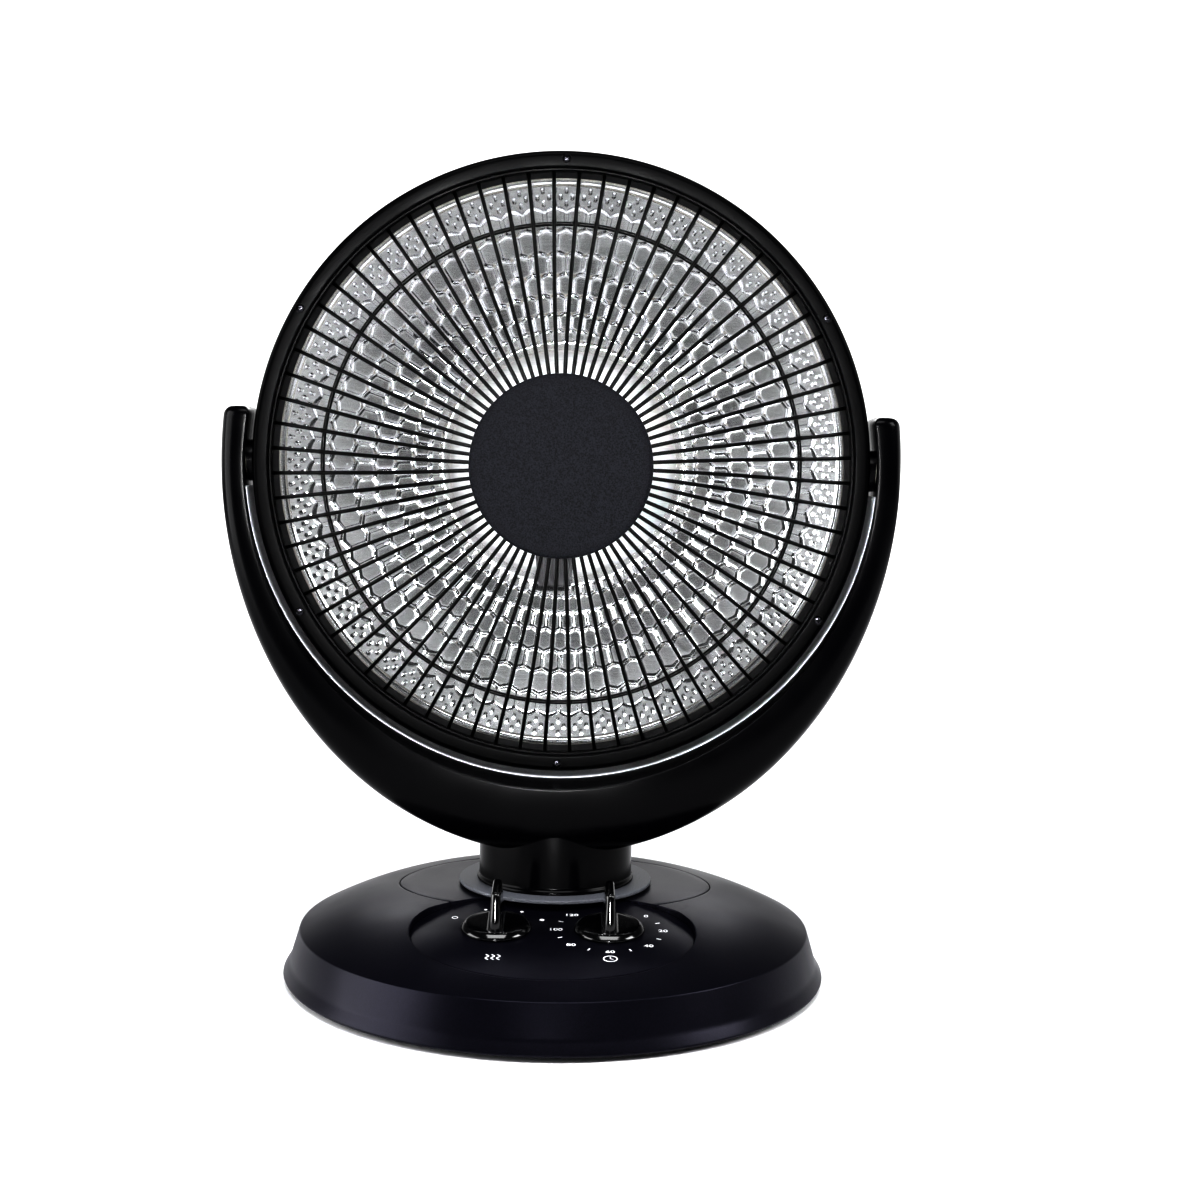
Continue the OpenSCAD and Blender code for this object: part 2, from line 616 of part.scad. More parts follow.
// the yoke's screws sit in the middle of the section at these angles below the tilt axis
yoke_screw_angles = [61, 74];
yoke_screw_head_y = 12;
yoke_screw_l = 22;
yoke_screw_r = 1.6;
function screw_spot(a) = let (s = quarter_station(a, 0)) [(s[0] + s[2]) / 2, (s[1] + s[3]) / 2];
module yoke_half(side) difference() {
    yoke_frame() difference() {
        loft(full(half_stations()), side);
        both_sides() loft(cavity_stations(), side);
    }
    on_neck() cylinder(r = neck_r + 0.15, h = neck_top);
    yoke_frame() both_sides() {
        translate([bush_in, 0, 0]) rotate([0, 90, 0]) cylinder(r = bush_r + fit, h = bush_out - bush_in);
        translate([yoke_in_r - 6, 0, 0]) rotate([0, 90, 0]) cylinder(r = boss_r + 0.3, h = 6.3);
    }
}
module at_yoke_screws() yoke_frame() both_sides() for (a = yoke_screw_angles)
    translate([screw_spot(a)[0], yoke_screw_head_y, screw_spot(a)[1]]) rotate([90, 0, 0]) children();
module yoke_front() color([0.04, 0.04, 0.045]) difference() {
    yoke_half(-1);
    at_yoke_screws() cylinder(r = yoke_screw_r, h = yoke_screw_l + 2);
}
module yoke_rear() color([0.04, 0.04, 0.045]) difference() {
    yoke_half(1);
    at_yoke_screws() {
        translate([0, 0, -1]) cylinder(r = yoke_screw_r + 0.2, h = yoke_screw_l);
        translate([0, 0, -big]) cylinder(r = 3.8, h = big);
    }
}
module yoke_screws() color([0.5, 0.5, 0.52]) at_yoke_screws() {
    translate([0, 0, -2.2]) cylinder(r = 3.2, h = 2.2);
    translate([0, 0, -1]) cylinder(r = yoke_screw_r - fit, h = yoke_screw_l + 1);
}
bush_flange_r = 11;
module pivot_bushes() color([0.85, 0.84, 0.8]) yoke_frame() both_sides() translate([bush_in, 0, 0])
    rotate([0, 90, 0]) difference() {
        union() {
            cylinder(r = bush_r, h = bush_out - bush_in - gap);
            translate([0, 0, -0.5]) cylinder(r = bush_flange_r, h = 0.5);
            translate([0, 0, -0.3]) cylinder(r = bush_r, h = 1);
        }
        translate([0, 0, -1]) cylinder(r = pin_r + fit, h = 30);
    }
spacer_out = bush_in - 0.5 - 0.15;
pin_head_x = rim_hoop_spot[0] + rim_wire_r + 0.3;
pin_head_t = 2.4;
pin_head_r = 8;
module pivot_pins() color([0.72, 0.72, 0.74]) yoke_frame() both_sides() {
    translate([pin_head_x, 0, 0]) rotate([0, 90, 0]) cylinder(r = pin_head_r, h = pin_head_t);
    translate([pin_head_x + pin_head_t - eps, 0, 0]) rotate([0, 90, 0])
        cylinder(r = pin_r, h = bush_out - gap - 1.5 - pin_head_x - pin_head_t);
}
module pivot_spacers() color([0.05, 0.05, 0.055]) yoke_frame() both_sides() {
    translate([pin_head_x + pin_head_t, 0, 0]) rotate([0, 90, 0])
        tube(pin_head_r, pin_r + fit, ring_in - 0.4 - pin_head_x - pin_head_t);
    difference() {
        translate([ring_in + 1, 0, 0]) rotate([0, 90, 0])
            cylinder(r = boss_r - 0.5, h = spacer_out - ring_in - 1);
        rotate([90, 0, 0]) translate([0, 0, -big / 2]) cylinder(r = ring_r + 0.02, h = big, $fn = 180);
        translate([ring_in, 0, 0]) rotate([0, 90, 0]) cylinder(r = pin_r + fit, h = 30);
    }
}

// ---- head ------------------------------------------------------------------------------
module guard_ring() color([0.03, 0.03, 0.033]) head_frame() difference() {
    rotate_extrude($fn = 180) polygon([[ring_r, -ring_back], [ring_r, ring_front - 3.5],
        [ring_r - 1, ring_front - 1.1], [ring_r - 3.4, ring_front],
        [face_in + 1, ring_front], [face_in, ring_front - 1.4], [face_in, lip_top + 0.4],
        [lip_r + 0.6, lip_top], [lip_r, lip_top - 0.6], [lip_r, lip_low],
        [channel_r, lip_low], [channel_r, ring_front - ring_wall], [ring_in, ring_front - ring_wall],
        [ring_in, -ring_back]]);
    ring_of(screw_ring_r, screw_angles) {
        translate([0, 0, ring_front - screw_head_t - 0.1]) cylinder(r = screw_head_r + 0.3, h = 5);
        cylinder(r = screw_shank_r + 0.2, h = 30);
    }
    translate([-big / 2, 0, 0]) rotate([0, 90, 0]) cylinder(r = pin_r + 0.2, h = big);
}
module head_screws() color([0.12, 0.12, 0.13]) head_frame() ring_of(screw_ring_r, screw_angles) {
    translate([0, 0, ring_front - screw_head_t]) cylinder(r = screw_head_r, h = screw_head_t);
    translate([0, 0, ring_front - head_screw_l])
        cylinder(r = screw_shank_r - fit, h = head_screw_l - screw_head_t + eps);
}
spoke_sweep = spoke_tilt(spoke_end_r);
spoke_start_r = hub_r - 6;
module spoke() translate([spoke_level_r, 0, guard_z - spoke_bend_r]) rotate([90, 0, 0])
    rotate(90 - spoke_sweep) rotate_extrude(angle = spoke_sweep - spoke_tilt(spoke_start_r), $fn = 180)
        translate([spoke_bend_r, 0]) circle(r = spoke_r, $fn = 16);
module guard_spokes() color([0.03, 0.03, 0.033]) head_frame()
    for (i = [0:spoke_count - 1]) rotate((i + 0.5) * 360 / spoke_count) spoke();
module wire_ring(spot, w) rotate_extrude($fn = 180) translate(spot) circle(r = w, $fn = 24);
module guard_mid_ring() color([0.03, 0.03, 0.033]) head_frame()
    wire_ring(on_spoke(mid_ring_r, mid_ring_d / 2 + 0.01, -1), mid_ring_d / 2);
module guard_rim_ring() color([0.03, 0.03, 0.033]) head_frame() wire_ring(rim_hoop_spot, rim_wire_r);
hub_lip = 3;
module hub_cap() color([0.14, 0.15, 0.16]) head_frame() translate([0, 0, guard_z + spoke_r + 0.02])
    rotate_extrude() polygon([[0, 0], [hub_r, 0], [hub_r, hub_t - 1.6], [hub_r - 0.6, hub_t - 0.6],
        [hub_r - 1.8, hub_t], [0, hub_t]]);
module hub_back() color([0.6, 0.6, 0.62]) head_frame()
    translate([0, 0, guard_z - spoke_r - hub_lip - 0.1]) difference() {
        union() {
            cylinder(r = hub_r - 1, h = hub_lip);
            translate([0, 0, hub_lip - eps]) cylinder(r = spoke_start_r - 0.6, h = 2 * spoke_r + 0.1);
        }
        translate([0, 0, -1]) cylinder(r = 10, h = 3);
    }
dish_steps = 20;
flange_z = spoke_z(spoke_end_r) - spoke_r * 1.3 - dish_t;
module reflector() color([0.8, 0.81, 0.82]) head_frame() difference() {
    rotate_extrude($fn = 144) polygon(concat(
        [for (i = [0:dish_steps]) let (r = dish_r * i / dish_steps) [r, dish_z(r)]],
        [[dish_r + 0.2, flange_z + dish_t], [flange_r, flange_z + dish_t], [flange_r, flange_z],
         [dish_r + 0.2 + dish_t, flange_z]],
        [for (i = [dish_steps:-1:0]) let (r = (dish_r + dish_t) * i / dish_steps)
            [r, dish_z(dish_r * i / dish_steps) - dish_t * 1.2]]));
    translate([0, 0, -big]) cylinder(r = dish_hole_r, h = big);
}
house_steps = 14;
// half section of the bowl behind the dish, moved inwards by w
function house_curve(w) = [for (i = [0:house_steps]) let (t = 90 * i / house_steps)
    [(ring_r - 1 - w) * pow(cos(t), 0.8),
     -ring_back - 0.1 - (housing_depth - ring_back - w) * pow(sin(t), 0.9)]];
tongue_r = ring_in - 0.15;
tongue_t = 2.2;
tongue_top = -2;
house_vents = 24;
house_vent_rows = [70, 108];
house_vent_l = 24;
house_vent_w = 4;
module rear_housing() color([0.06, 0.06, 0.065]) head_frame() difference() {
    union() {
        rotate_extrude($fn = 144) polygon(concat(house_curve(0),
            [for (i = [house_steps:-1:0]) house_curve(housing_wall)[i]],
            [[tongue_r - tongue_t, -ring_back - 3], [tongue_r - tongue_t, tongue_top],
             [tongue_r, tongue_top], [tongue_r, -ring_back - 0.1]]));
        intersection() {
            ring_of(screw_ring_r, screw_angles) translate([0, 0, -ring_back - 6])
                cylinder(r = post_r, h = post_top + ring_back + 6);
            translate([0, 0, -big / 2]) cylinder(r = tongue_r, h = big, $fn = 180);
        }
    }
    ring_of(screw_ring_r, screw_angles) translate([0, 0, ring_front - head_screw_l - 2])
        cylinder(r = screw_shank_r, h = 20);
    for (row = [0:len(house_vent_rows) - 1], i = [0:house_vents - 1])
        rotate((i + row / 2) * 360 / house_vents)
            translate([house_vent_rows[row], -house_vent_w / 2, -housing_depth - 5])
                cube([house_vent_l, house_vent_w, housing_depth - 20]);
    translate([0, 0, -housing_depth - 1]) cylinder(r = 16, h = 10);
    translate([-big / 2, 0, 0]) rotate([0, 90, 0]) cylinder(r = pin_head_r + 0.2, h = big);
}
cover_r = 44;
cover_h = 12;
module cover_frame() head_frame() translate([0, 0, -housing_depth - cover_h - 0.1]) children();
module at_cover_screws() ring_of(cover_r - 3.8, [45, 135, 225, 315]) children();
module terminal_cover() color([0.06, 0.06, 0.065]) cover_frame() difference() {
    rotate_extrude() polygon([[0, 0], [cover_r - 5, 0], [cover_r - 1.5, 1.6], [cover_r, cover_h - 3],
        [cover_r, cover_h], [0, cover_h]]);
    translate([0, 0, 2.2]) cylinder(r = cover_r - 7, h = cover_h);
    at_cover_screws() {
        translate([0, 0, -1]) cylinder(r = 1.7, h = cover_h + 2);
        translate([0, 0, -1]) cylinder(r = 3, h = 3.5);
    }
}
module cover_screws() color([0.5, 0.5, 0.52]) cover_frame() at_cover_screws() {
    translate([0, 0, 1]) cylinder(r = 2.8, h = 1.5);
    translate([0, 0, 2.4]) cylinder(r = 1.6, h = cover_h - 2.4);
}

// ---- heating element -----------------------------------------------------------------------
socket_h = 24;
socket_flange_t = 3;
socket_neck_r = socket_r - 5.2;
dish_hole_r = socket_r - 5;
socket_low = dish_z(dish_hole_r) - dish_t * 1.2 - socket_flange_t - 0.02;
core_low = socket_low + socket_h;
module element_socket() color([0.9, 0.89, 0.85]) head_frame() translate([0, 0, socket_low]) difference() {
    union() {
        cylinder(r = socket_r, h = socket_flange_t);
        cylinder(r = socket_neck_r, h = socket_h);
    }
    translate([0, 0, -1]) cylinder(r = 4, h = socket_h + 2);
}
module element_core() color([0.93, 0.92, 0.89]) head_frame() translate([0, 0, core_low]) difference() {
    cylinder(r1 = core_r, r2 = core_tip_r, h = core_l);
    translate([0, 0, -1]) cylinder(r = 4, h = core_l + 2);
}
coil_rings = 24;
coil_sides = 6;
coil_margin = 5;
coil_gap = 0.05;
function coil_at(t) = let (h = coil_margin + coil_d / 2 + t * (core_l - 2 * coil_margin - coil_d),
        r = mix(core_r, core_tip_r, h / core_l) + coil_d / 2 + coil_gap + 0.35)
    [r * cos(360 * coil_loops * t), r * sin(360 * coil_loops * t), h];
coil_n = coil_loops * coil_rings;
module element_coil() color([0.35, 0.3, 0.28]) head_frame() translate([0, 0, core_low]) {
    pts = [for (j = [0:coil_n]) let (p = coil_at(j / coil_n), a = 360 * coil_loops * j / coil_n)
        for (i = [0:coil_sides - 1]) let (b = 360 * i / coil_sides)
            p + coil_d / 2 * [cos(b) * cos(a), cos(b) * sin(a), sin(b)]];
    walls = [for (j = [0:coil_n - 1], i = [0:coil_sides - 1]) let (k = (i + 1) % coil_sides)
        each [[j * coil_sides + i, (j + 1) * coil_sides + i, j * coil_sides + k],
              [j * coil_sides + k, (j + 1) * coil_sides + i, (j + 1) * coil_sides + k]]];
    cap_a = [for (i = [0:coil_sides - 1]) i];
    cap_b = [for (i = [coil_sides - 1:-1:0]) coil_n * coil_sides + i];
    polyhedron(pts, concat([cap_a], walls, [cap_b]), convexity = 10);
}
coil_pitch = (core_l - 2 * coil_margin - coil_d) / coil_loops;
echo(coil_least_gap = coil_pitch - coil_d);
// the dark holder clamps the socket and hangs below it, in front of the dish
bracket_x = -4;
bracket_t = 2.4;
bracket_h = 7;
bracket_top_w = 34;
bracket_low_w = 20;
bracket_z = core_low - bracket_h - 0.5;
module element_bracket() color([0.08, 0.08, 0.085]) head_frame() translate([0, 0, bracket_z]) difference() {
    union() {
        cylinder(r = socket_neck_r + 3.5, h = bracket_h);
        translate([0, 0, bracket_h - bracket_t]) linear_extrude(bracket_t) polygon([
            [bracket_x - bracket_top_w / 2, -6], [bracket_x - bracket_low_w / 2, -bracket_len],
            [bracket_x + bracket_low_w / 2, -bracket_len], [bracket_x + bracket_top_w / 2, -6]]);
        for (i = [-1:1]) translate([bracket_x + i * 6 - 0.8, -bracket_len, bracket_h - eps])
            cube([1.6, bracket_len - socket_neck_r - 2, 1.4]);
    }
    translate([0, 0, -1]) cylinder(r = socket_neck_r + fit, h = bracket_h + 4);
}
cutout_y = 26;
module thermal_cutout() color([0.55, 0.5, 0.42]) head_frame() translate([0, 0, socket_low]) {
    translate([-5, 8, -1]) cube([10, cutout_y + 6, 1]);
    translate([0, cutout_y + 6, -7]) cylinder(r = 8, h = 6 + eps);
}

base_shell();
neck_island();
base_plate();
ballast_plate();
rubber_feet();
base_screws();
control_fascia();
heat_switch();
timer_unit();
osc_motor();
motor_screws();
swivel_bearing();
tip_bracket();
tip_switch();
terminal_block();
cord_gland();
heat_shaft();
heat_knob();
timer_shaft();
timer_knob();
drive_pinion();
tip_plunger();
plunger_spring();
turntable();
neck();
sector_gear();
spindle_retainer();
yoke_front();
yoke_rear();
yoke_screws();
pivot_bushes();
pivot_pins();
pivot_spacers();
guard_ring();
guard_spokes();
guard_mid_ring();
guard_rim_ring();
hub_cap();
hub_back();
reflector();
rear_housing();
terminal_cover();
cover_screws();
element_core();
element_coil();
element_socket();
element_bracket();
thermal_cutout();
head_screws();
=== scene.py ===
# %% [markdown]
# # A dish heater, piece by piece
# The heater is a bright dish behind a wire guard, held by a crescent yoke on a round base. Its sizes
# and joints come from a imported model, the frame. Each surface is worked out with numpy in
# millimetres, turned into a mesh in metres, and put on the body that carries it.

# %% Load the frame
import json
import math

import bmesh
import bpy
import numpy as np
from mathutils import Matrix, Vector


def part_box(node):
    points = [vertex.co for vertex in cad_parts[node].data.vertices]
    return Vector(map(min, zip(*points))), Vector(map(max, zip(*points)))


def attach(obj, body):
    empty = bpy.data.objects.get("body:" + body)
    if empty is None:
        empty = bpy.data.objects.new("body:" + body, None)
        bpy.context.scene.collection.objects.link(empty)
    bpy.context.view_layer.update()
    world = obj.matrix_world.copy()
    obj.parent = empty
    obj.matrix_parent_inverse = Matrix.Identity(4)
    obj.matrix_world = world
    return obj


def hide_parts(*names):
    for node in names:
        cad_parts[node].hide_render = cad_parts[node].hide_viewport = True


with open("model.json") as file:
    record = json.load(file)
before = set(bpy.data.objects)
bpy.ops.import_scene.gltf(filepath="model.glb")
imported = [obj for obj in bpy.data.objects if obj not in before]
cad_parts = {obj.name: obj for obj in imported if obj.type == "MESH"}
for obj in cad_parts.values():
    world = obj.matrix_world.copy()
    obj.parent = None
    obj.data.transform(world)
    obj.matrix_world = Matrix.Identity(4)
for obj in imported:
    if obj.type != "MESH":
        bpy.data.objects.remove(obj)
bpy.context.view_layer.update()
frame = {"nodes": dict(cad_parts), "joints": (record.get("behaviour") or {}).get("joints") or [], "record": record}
MM = 0.001
joints = {joint["name"]: joint for joint in frame["joints"]}

# %% [markdown]
# ## Sizes from the frame
# The joints give the neck's upright axis, the trunnion axis and the dials' places. The boxes of a
# few nodes give the large radii, so the pieces follow the frame when it changes.

# %% Read axes and radii in millimetres
NECK_Y = joints["swivel"]["pos_m"][1] / MM
PIVOT_Z = joints["head_tilt"]["pos_m"][2] / MM
KNOB_X = joints["timer_turn"]["pos_m"][0] / MM


def box_mm(node):
    """Lowest and highest corner of a node, in millimetres."""
    low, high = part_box(node)
    return np.array(low) / MM, np.array(high) / MM


def depth_of(node):
    """Where a node's rear and its front lie, as distances forward of the trunnion axis."""
    low, high = box_mm(node)
    return NECK_Y - high[1], NECK_Y - low[1]


BASE_R = box_mm("base_shell")[1][0]
PLATEAU_Z = box_mm("neck_island")[1][2]
RING_R = box_mm("guard_ring")[1][0]
RING_REAR, RING_FRONT = depth_of("guard_ring")
ARM_X, _, arm_z = box_mm("yoke_front")[1]
ARM_TOP, BOWL_LOW = arm_z - PIVOT_Z, PIVOT_Z - box_mm("yoke_front")[0][2]
BOWL_DEPTH = depth_of("yoke_front")[1]
HUB_R, HUB_FRONT = box_mm("hub_cap")[1][0], depth_of("hub_cap")[1]
DISC_R, _, DISC_TOP = box_mm("turntable")[1]
DISH_FLANGE_R = box_mm("reflector")[1][0]
NECK_R = 45.0
print(f"ring {RING_R:.1f}, arm {ARM_X:.1f}, bowl {BOWL_LOW:.1f} x {BOWL_DEPTH:.1f}, hub {HUB_R:.1f} mm")

# %% [markdown]
# ## Small tools
# A surface here is a grid of points: rows of a profile, carried along a path or turned round an
# axis. One function joins the grid with four-sided faces, one makes the mesh, and a few move points
# from the head's own axes into the frame.

# %% Grids to meshes
def put(name, data):
    """A new object with this data, linked into the scene."""
    thing = bpy.data.objects.new(name, data)
    bpy.context.scene.collection.objects.link(thing)
    return thing


def grid_faces(rows, columns, closed="both", start=0):
    """Faces of a grid: point (i, j) is joined with (i+1, j), (i+1, j+1) and (i, j+1)."""
    i = np.arange(rows if closed in ("both", "rows") else rows - 1)[:, None]
    j = np.arange(columns if closed in ("both", "columns") else columns - 1)[None, :]
    i2, j2 = (i + 1) % rows, (j + 1) % columns
    corners = [i * columns + j, i2 * columns + j, i2 * columns + j2, i * columns + j2]
    return np.stack(np.broadcast_arrays(*corners), -1).reshape(-1, 4) + start


def fill_mesh(name, points, faces):
    """A mesh from points in millimetres and arrays of faces, one array for each number of corners."""
    mesh = bpy.data.meshes.new(name)
    mesh.vertices.add(len(points))
    mesh.vertices.foreach_set("co", (points * MM).astype(np.float32).ravel())
    corners = np.concatenate([f.ravel() for f in faces]).astype(np.int32)
    sizes = np.concatenate([np.full(len(f), f.shape[1], np.int32) for f in faces])
    mesh.loops.add(len(corners))
    mesh.loops.foreach_set("vertex_index", corners)
    mesh.polygons.add(len(sizes))
    mesh.polygons.foreach_set("loop_start", np.cumsum(sizes, dtype=np.int32) - sizes)
    mesh.update(calc_edges=True)
    return mesh


def join_grids(name, grids):
    """One mesh from several grids of points, given as (points, closed) pairs."""
    points, faces, start = [], [], 0
    for grid, closed in grids:
        rows, columns = grid.shape[:2]
        points.append(grid.reshape(-1, 3))
        faces.append(grid_faces(rows, columns, closed, start))
        start += rows * columns
    return fill_mesh(name, np.concatenate(points), faces)


def clean(mesh):
    """Merge doubled points, take out faces without area, and turn the rest outwards."""
    work = bmesh.new()
    work.from_mesh(mesh)
    bmesh.ops.remove_doubles(work, verts=work.verts, dist=1e-6)
    bmesh.ops.dissolve_degenerate(work, edges=work.edges, dist=1e-7)
    bmesh.ops.recalc_face_normals(work, faces=work.faces)
    work.to_mesh(mesh)
    work.free()


def finish_piece(name, mesh, body, material, node=None, crease=35.0):
    """Clean a mesh, shade it smooth up to the crease angle, and put it on its body for its node."""
    clean(mesh)
    mesh.polygons.foreach_set("use_smooth", np.ones(len(mesh.polygons), bool))
    mesh.set_sharp_from_angle(angle=math.radians(crease))
    mesh.materials.append(material)
    piece = put(name, mesh)
    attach(piece, body)
    if node:
        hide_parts(node)
    print(f"{name}: {len(mesh.polygons)} faces")
    return piece


def make_piece(name, grids, body, material, node=None, crease=35.0):
    """One piece from several grids of points in millimetres, given as (points, closed) pairs."""
    return finish_piece(name, join_grids(name, grids), body, material, node, crease)


# %% Profiles and frames
def rounded(corners, radius, steps=5, closed=True):
    """Round each corner of an outline: leave one edge and meet the next with a curve of order two."""
    corners = np.asarray(corners, float)
    radius = np.broadcast_to(np.asarray(radius, float), len(corners))[:, None]
    before, after = np.roll(corners, 1, 0), np.roll(corners, -1, 0)
    back, ahead = before - corners, after - corners
    lengths = [np.linalg.norm(v, axis=1, keepdims=True) for v in (back, ahead)]
    cut = np.minimum(radius, 0.48 * np.minimum(*lengths))
    start, end = corners + back / lengths[0] * cut, corners + ahead / lengths[1] * cut
    t = np.linspace(0, 1, steps)[None, :, None]
    curve = start[:, None] * (1 - t) ** 2 + corners[:, None] * 2 * t * (1 - t) + end[:, None] * t**2
    if not closed:
        curve[0], curve[-1] = corners[0], corners[-1]
    return curve.reshape(-1, 2)


def rays_of(count):
    """Angles spread evenly round a circle."""
    return np.arange(count) * 2 * np.pi / count


def polar(r, a, z):
    """Points at radius r, angle a and height z: x = r cos a, y = r sin a."""
    return np.stack(np.broadcast_arrays(r * np.cos(a), r * np.sin(a), z), -1)


def revolve(profile, turns):
    """Turn (radius, height) points round the upright axis."""
    profile = np.asarray(profile, float)
    return polar(profile[:, :1], rays_of(turns), profile[:, 1:])


def capped(tube):
    """Close a tube of points: one more row at each end, drawn together in the end's middle."""
    first, last = [row.mean(1, keepdims=True) + 0 * row for row in (tube[:1], tube[-1:])]
    return np.concatenate([first, tube, last])


def to_head(points):
    """Head axes (right, up, forward) to the frame, with the origin on the trunnion axis."""
    x, up, forward = np.moveaxis(points, -1, 0)
    return np.stack([x, NECK_Y - forward, PIVOT_Z + up], -1)


def to_rear(points, x=0.0, y=NECK_Y, z=PIVOT_Z):
    """A shape about the upright axis, laid along the frame's y axis with its top to the rear."""
    return np.stack([points[..., 0] + x, points[..., 2] + y, points[..., 1] + z], -1)


def on_neck(points):
    """Points round the neck's axis to the frame."""
    return points + np.array([0, NECK_Y, 0])


def turned_piece(name, line, turns, move, body, material, node=None, closed="both"):
    """A piece from one profile, turned round an axis and moved to its place."""
    return make_piece(name, [(move(revolve(line, turns)), closed)], body, material, node)


def mix(a, b, t):
    """The value a share t of the way from a to b."""
    return a + (b - a) * t


def smooth(t):
    """A step from 0 to 1 with level ends: 3t^2 - 2t^3."""
    t = np.clip(t, 0, 1)
    return t * t * (3 - 2 * t)


# %% [markdown]
# ## Camera
# The photograph was taken from about one metre, a little above the middle of the dish, with a
# normal lens, and the picture leans by one degree. The camera is placed by these real distances.

# %% Place the camera
CAMERA_AT = Vector((0.0105, -0.986, 0.307))
LOOKS_RIGHT, LOOKS_DOWN, LEANS = [math.radians(degrees) for degrees in (0.75, 5.1, 1.06)]
LENS_PX, PICTURE_PX, SENSOR_MM = 1711, 1200, 36.0

forward = Vector((math.sin(LOOKS_RIGHT), math.cos(LOOKS_RIGHT), 0)) * math.cos(LOOKS_DOWN)
forward -= Vector((0, 0, math.sin(LOOKS_DOWN)))
right = forward.cross(Vector((0, 0, 1))).normalized()
above = right.cross(forward)
level, lean = math.cos(LEANS), math.sin(LEANS)
right, above = right * level + above * lean, above * level - right * lean
camera_data = bpy.data.cameras.new("camera")
camera_data.sensor_fit = "HORIZONTAL"
camera_data.sensor_width = SENSOR_MM
camera_data.lens = LENS_PX / PICTURE_PX * SENSOR_MM
camera = put("camera", camera_data)
turn = Matrix((right, above, -forward)).transposed().to_4x4()
camera.matrix_world = Matrix.Translation(CAMERA_AT) @ turn
bpy.context.scene.camera = camera
off = (CAMERA_AT - Vector((0, NECK_Y * MM, PIVOT_Z * MM))).length
print(f"camera {camera_data.lens:.1f} mm lens, {off:.3f} m off")

# %% [markdown]
# ## Floor and light
# The object stands on plain white paper. Soft boxes at the left, at the right and above give long
# soft edges on black gloss. From the front comes one narrow beam on the head alone, so black faces
# that look at the camera stay black while the curved dish gathers light from the sides.

# %% Node tools
def add(tree, kind, inputs=None, **settings):
    """Add one node, set its properties, and fill its inputs: a value is set, and an output is linked.
    A node stands for its first output."""
    node = tree.nodes.new(kind)
    for key, value in settings.items():
        setattr(node, key, value)
    for key, value in (inputs or {}).items():
        if isinstance(value, bpy.types.Node):
            value = value.outputs[0]
        if isinstance(value, bpy.types.NodeSocket):
            tree.links.new(value, node.inputs[key])
        else:
            node.inputs[key].default_value = value
    return node


def colour(code):
    """An sRGB hex colour as linear red, green, blue and alpha."""
    srgb = np.array([int(code[i:i + 2], 16) for i in (1, 3, 5)]) / 255
    linear = np.where(srgb <= 0.04045, srgb / 12.92, ((srgb + 0.055) / 1.055) ** 2.4)
    return (*linear.tolist(), 1.0)


def start_material(name, code, rough, metal=0.0, ior=1.5, shine=0.5, tint="#ffffff"):
    """A material with plain values on its Principled shader; returns it, its tree and shader."""
    material = bpy.data.materials.new(name)
    material.use_nodes = True
    tree = material.node_tree
    shader = tree.nodes["Principled BSDF"]
    values = {"Base Color": colour(code), "Roughness": rough, "Metallic": metal, "IOR": ior,
              "Specular IOR Level": shine, "Specular Tint": colour(tint)}
    for key, value in values.items():
        shader.inputs[key].default_value = value
    return material, tree, shader


# %% Floor
PAPER_SIDES = 64

# The floor turns into plain white towards its far edge, where only the camera sees it.
floor_paint, tree, shader = start_material("matt_white_paper", "#f4f4f6", 0.9)
place = add(tree, "ShaderNodeTexCoord").outputs["Object"]
away = add(tree, "ShaderNodeVectorMath", {0: place}, operation="LENGTH").outputs["Value"]
far_off = add(tree, "ShaderNodeMapRange", {"Value": away, "From Min": 0.55, "From Max": 1.3})
seen = add(tree, "ShaderNodeLightPath").outputs["Is Camera Ray"]
share = add(tree, "ShaderNodeMath", {0: far_off, 1: seen}, operation="MULTIPLY")
glow = add(tree, "ShaderNodeEmission", {"Color": colour("#ffffff"), "Strength": 1.0})
blend = add(tree, "ShaderNodeMixShader", {0: share, 1: shader, 2: glow})
tree.links.new(blend.outputs["Shader"], tree.nodes["Material Output"].inputs["Surface"])

paper = revolve([(0, 0), (600, 0), (2500, 0), (9000, 0)], PAPER_SIDES)
paper = paper.reshape(-1, 3)[PAPER_SIDES - 1:]
j = np.arange(PAPER_SIDES)
middle = np.stack([0 * j, 1 + j, 1 + (j + 1) % PAPER_SIDES], -1)
floor_mesh = fill_mesh("floor", paper, [grid_faces(3, PAPER_SIDES, "columns", 1), middle])
floor_mesh.materials.append(floor_paint)
put("floor", floor_mesh)


# %% Lights and world
def soft_light(name, at, aim, width, height, watts, spread=180):
    """A rectangular soft box at one point, turned to another; a small spread is a box with a grid."""
    data = bpy.data.lights.new(name, "AREA")
    data.shape, data.size, data.size_y, data.energy = "RECTANGLE", width, height, watts
    data.spread = math.radians(spread)
    light = put(name, data)
    light.location = at
    light.visible_camera = False
    light.rotation_euler = (Vector(aim) - Vector(at)).to_track_quat("-Z", "Y").to_euler()


soft_light("left_box", (-1.8, -0.45, 0.62), (0, 0, 0.28), 1.5, 1.4, 42)
soft_light("right_box", (1.7, -0.5, 1.2), (0, 0, 0.25), 0.8, 0.9, 26)
soft_light("top_box", (0, -1.0, 2.0), (0, 0, 0.2), 1.6, 1.0, 38)
soft_light("front_box", (-0.1, -2.5, 0.42), (0, 0, 0.315), 0.35, 0.35, 0.85, 11)
soft_light("back_box", (0, 1.7, 0.95), (0, 0, 0.03), 1.5, 0.5, 7)

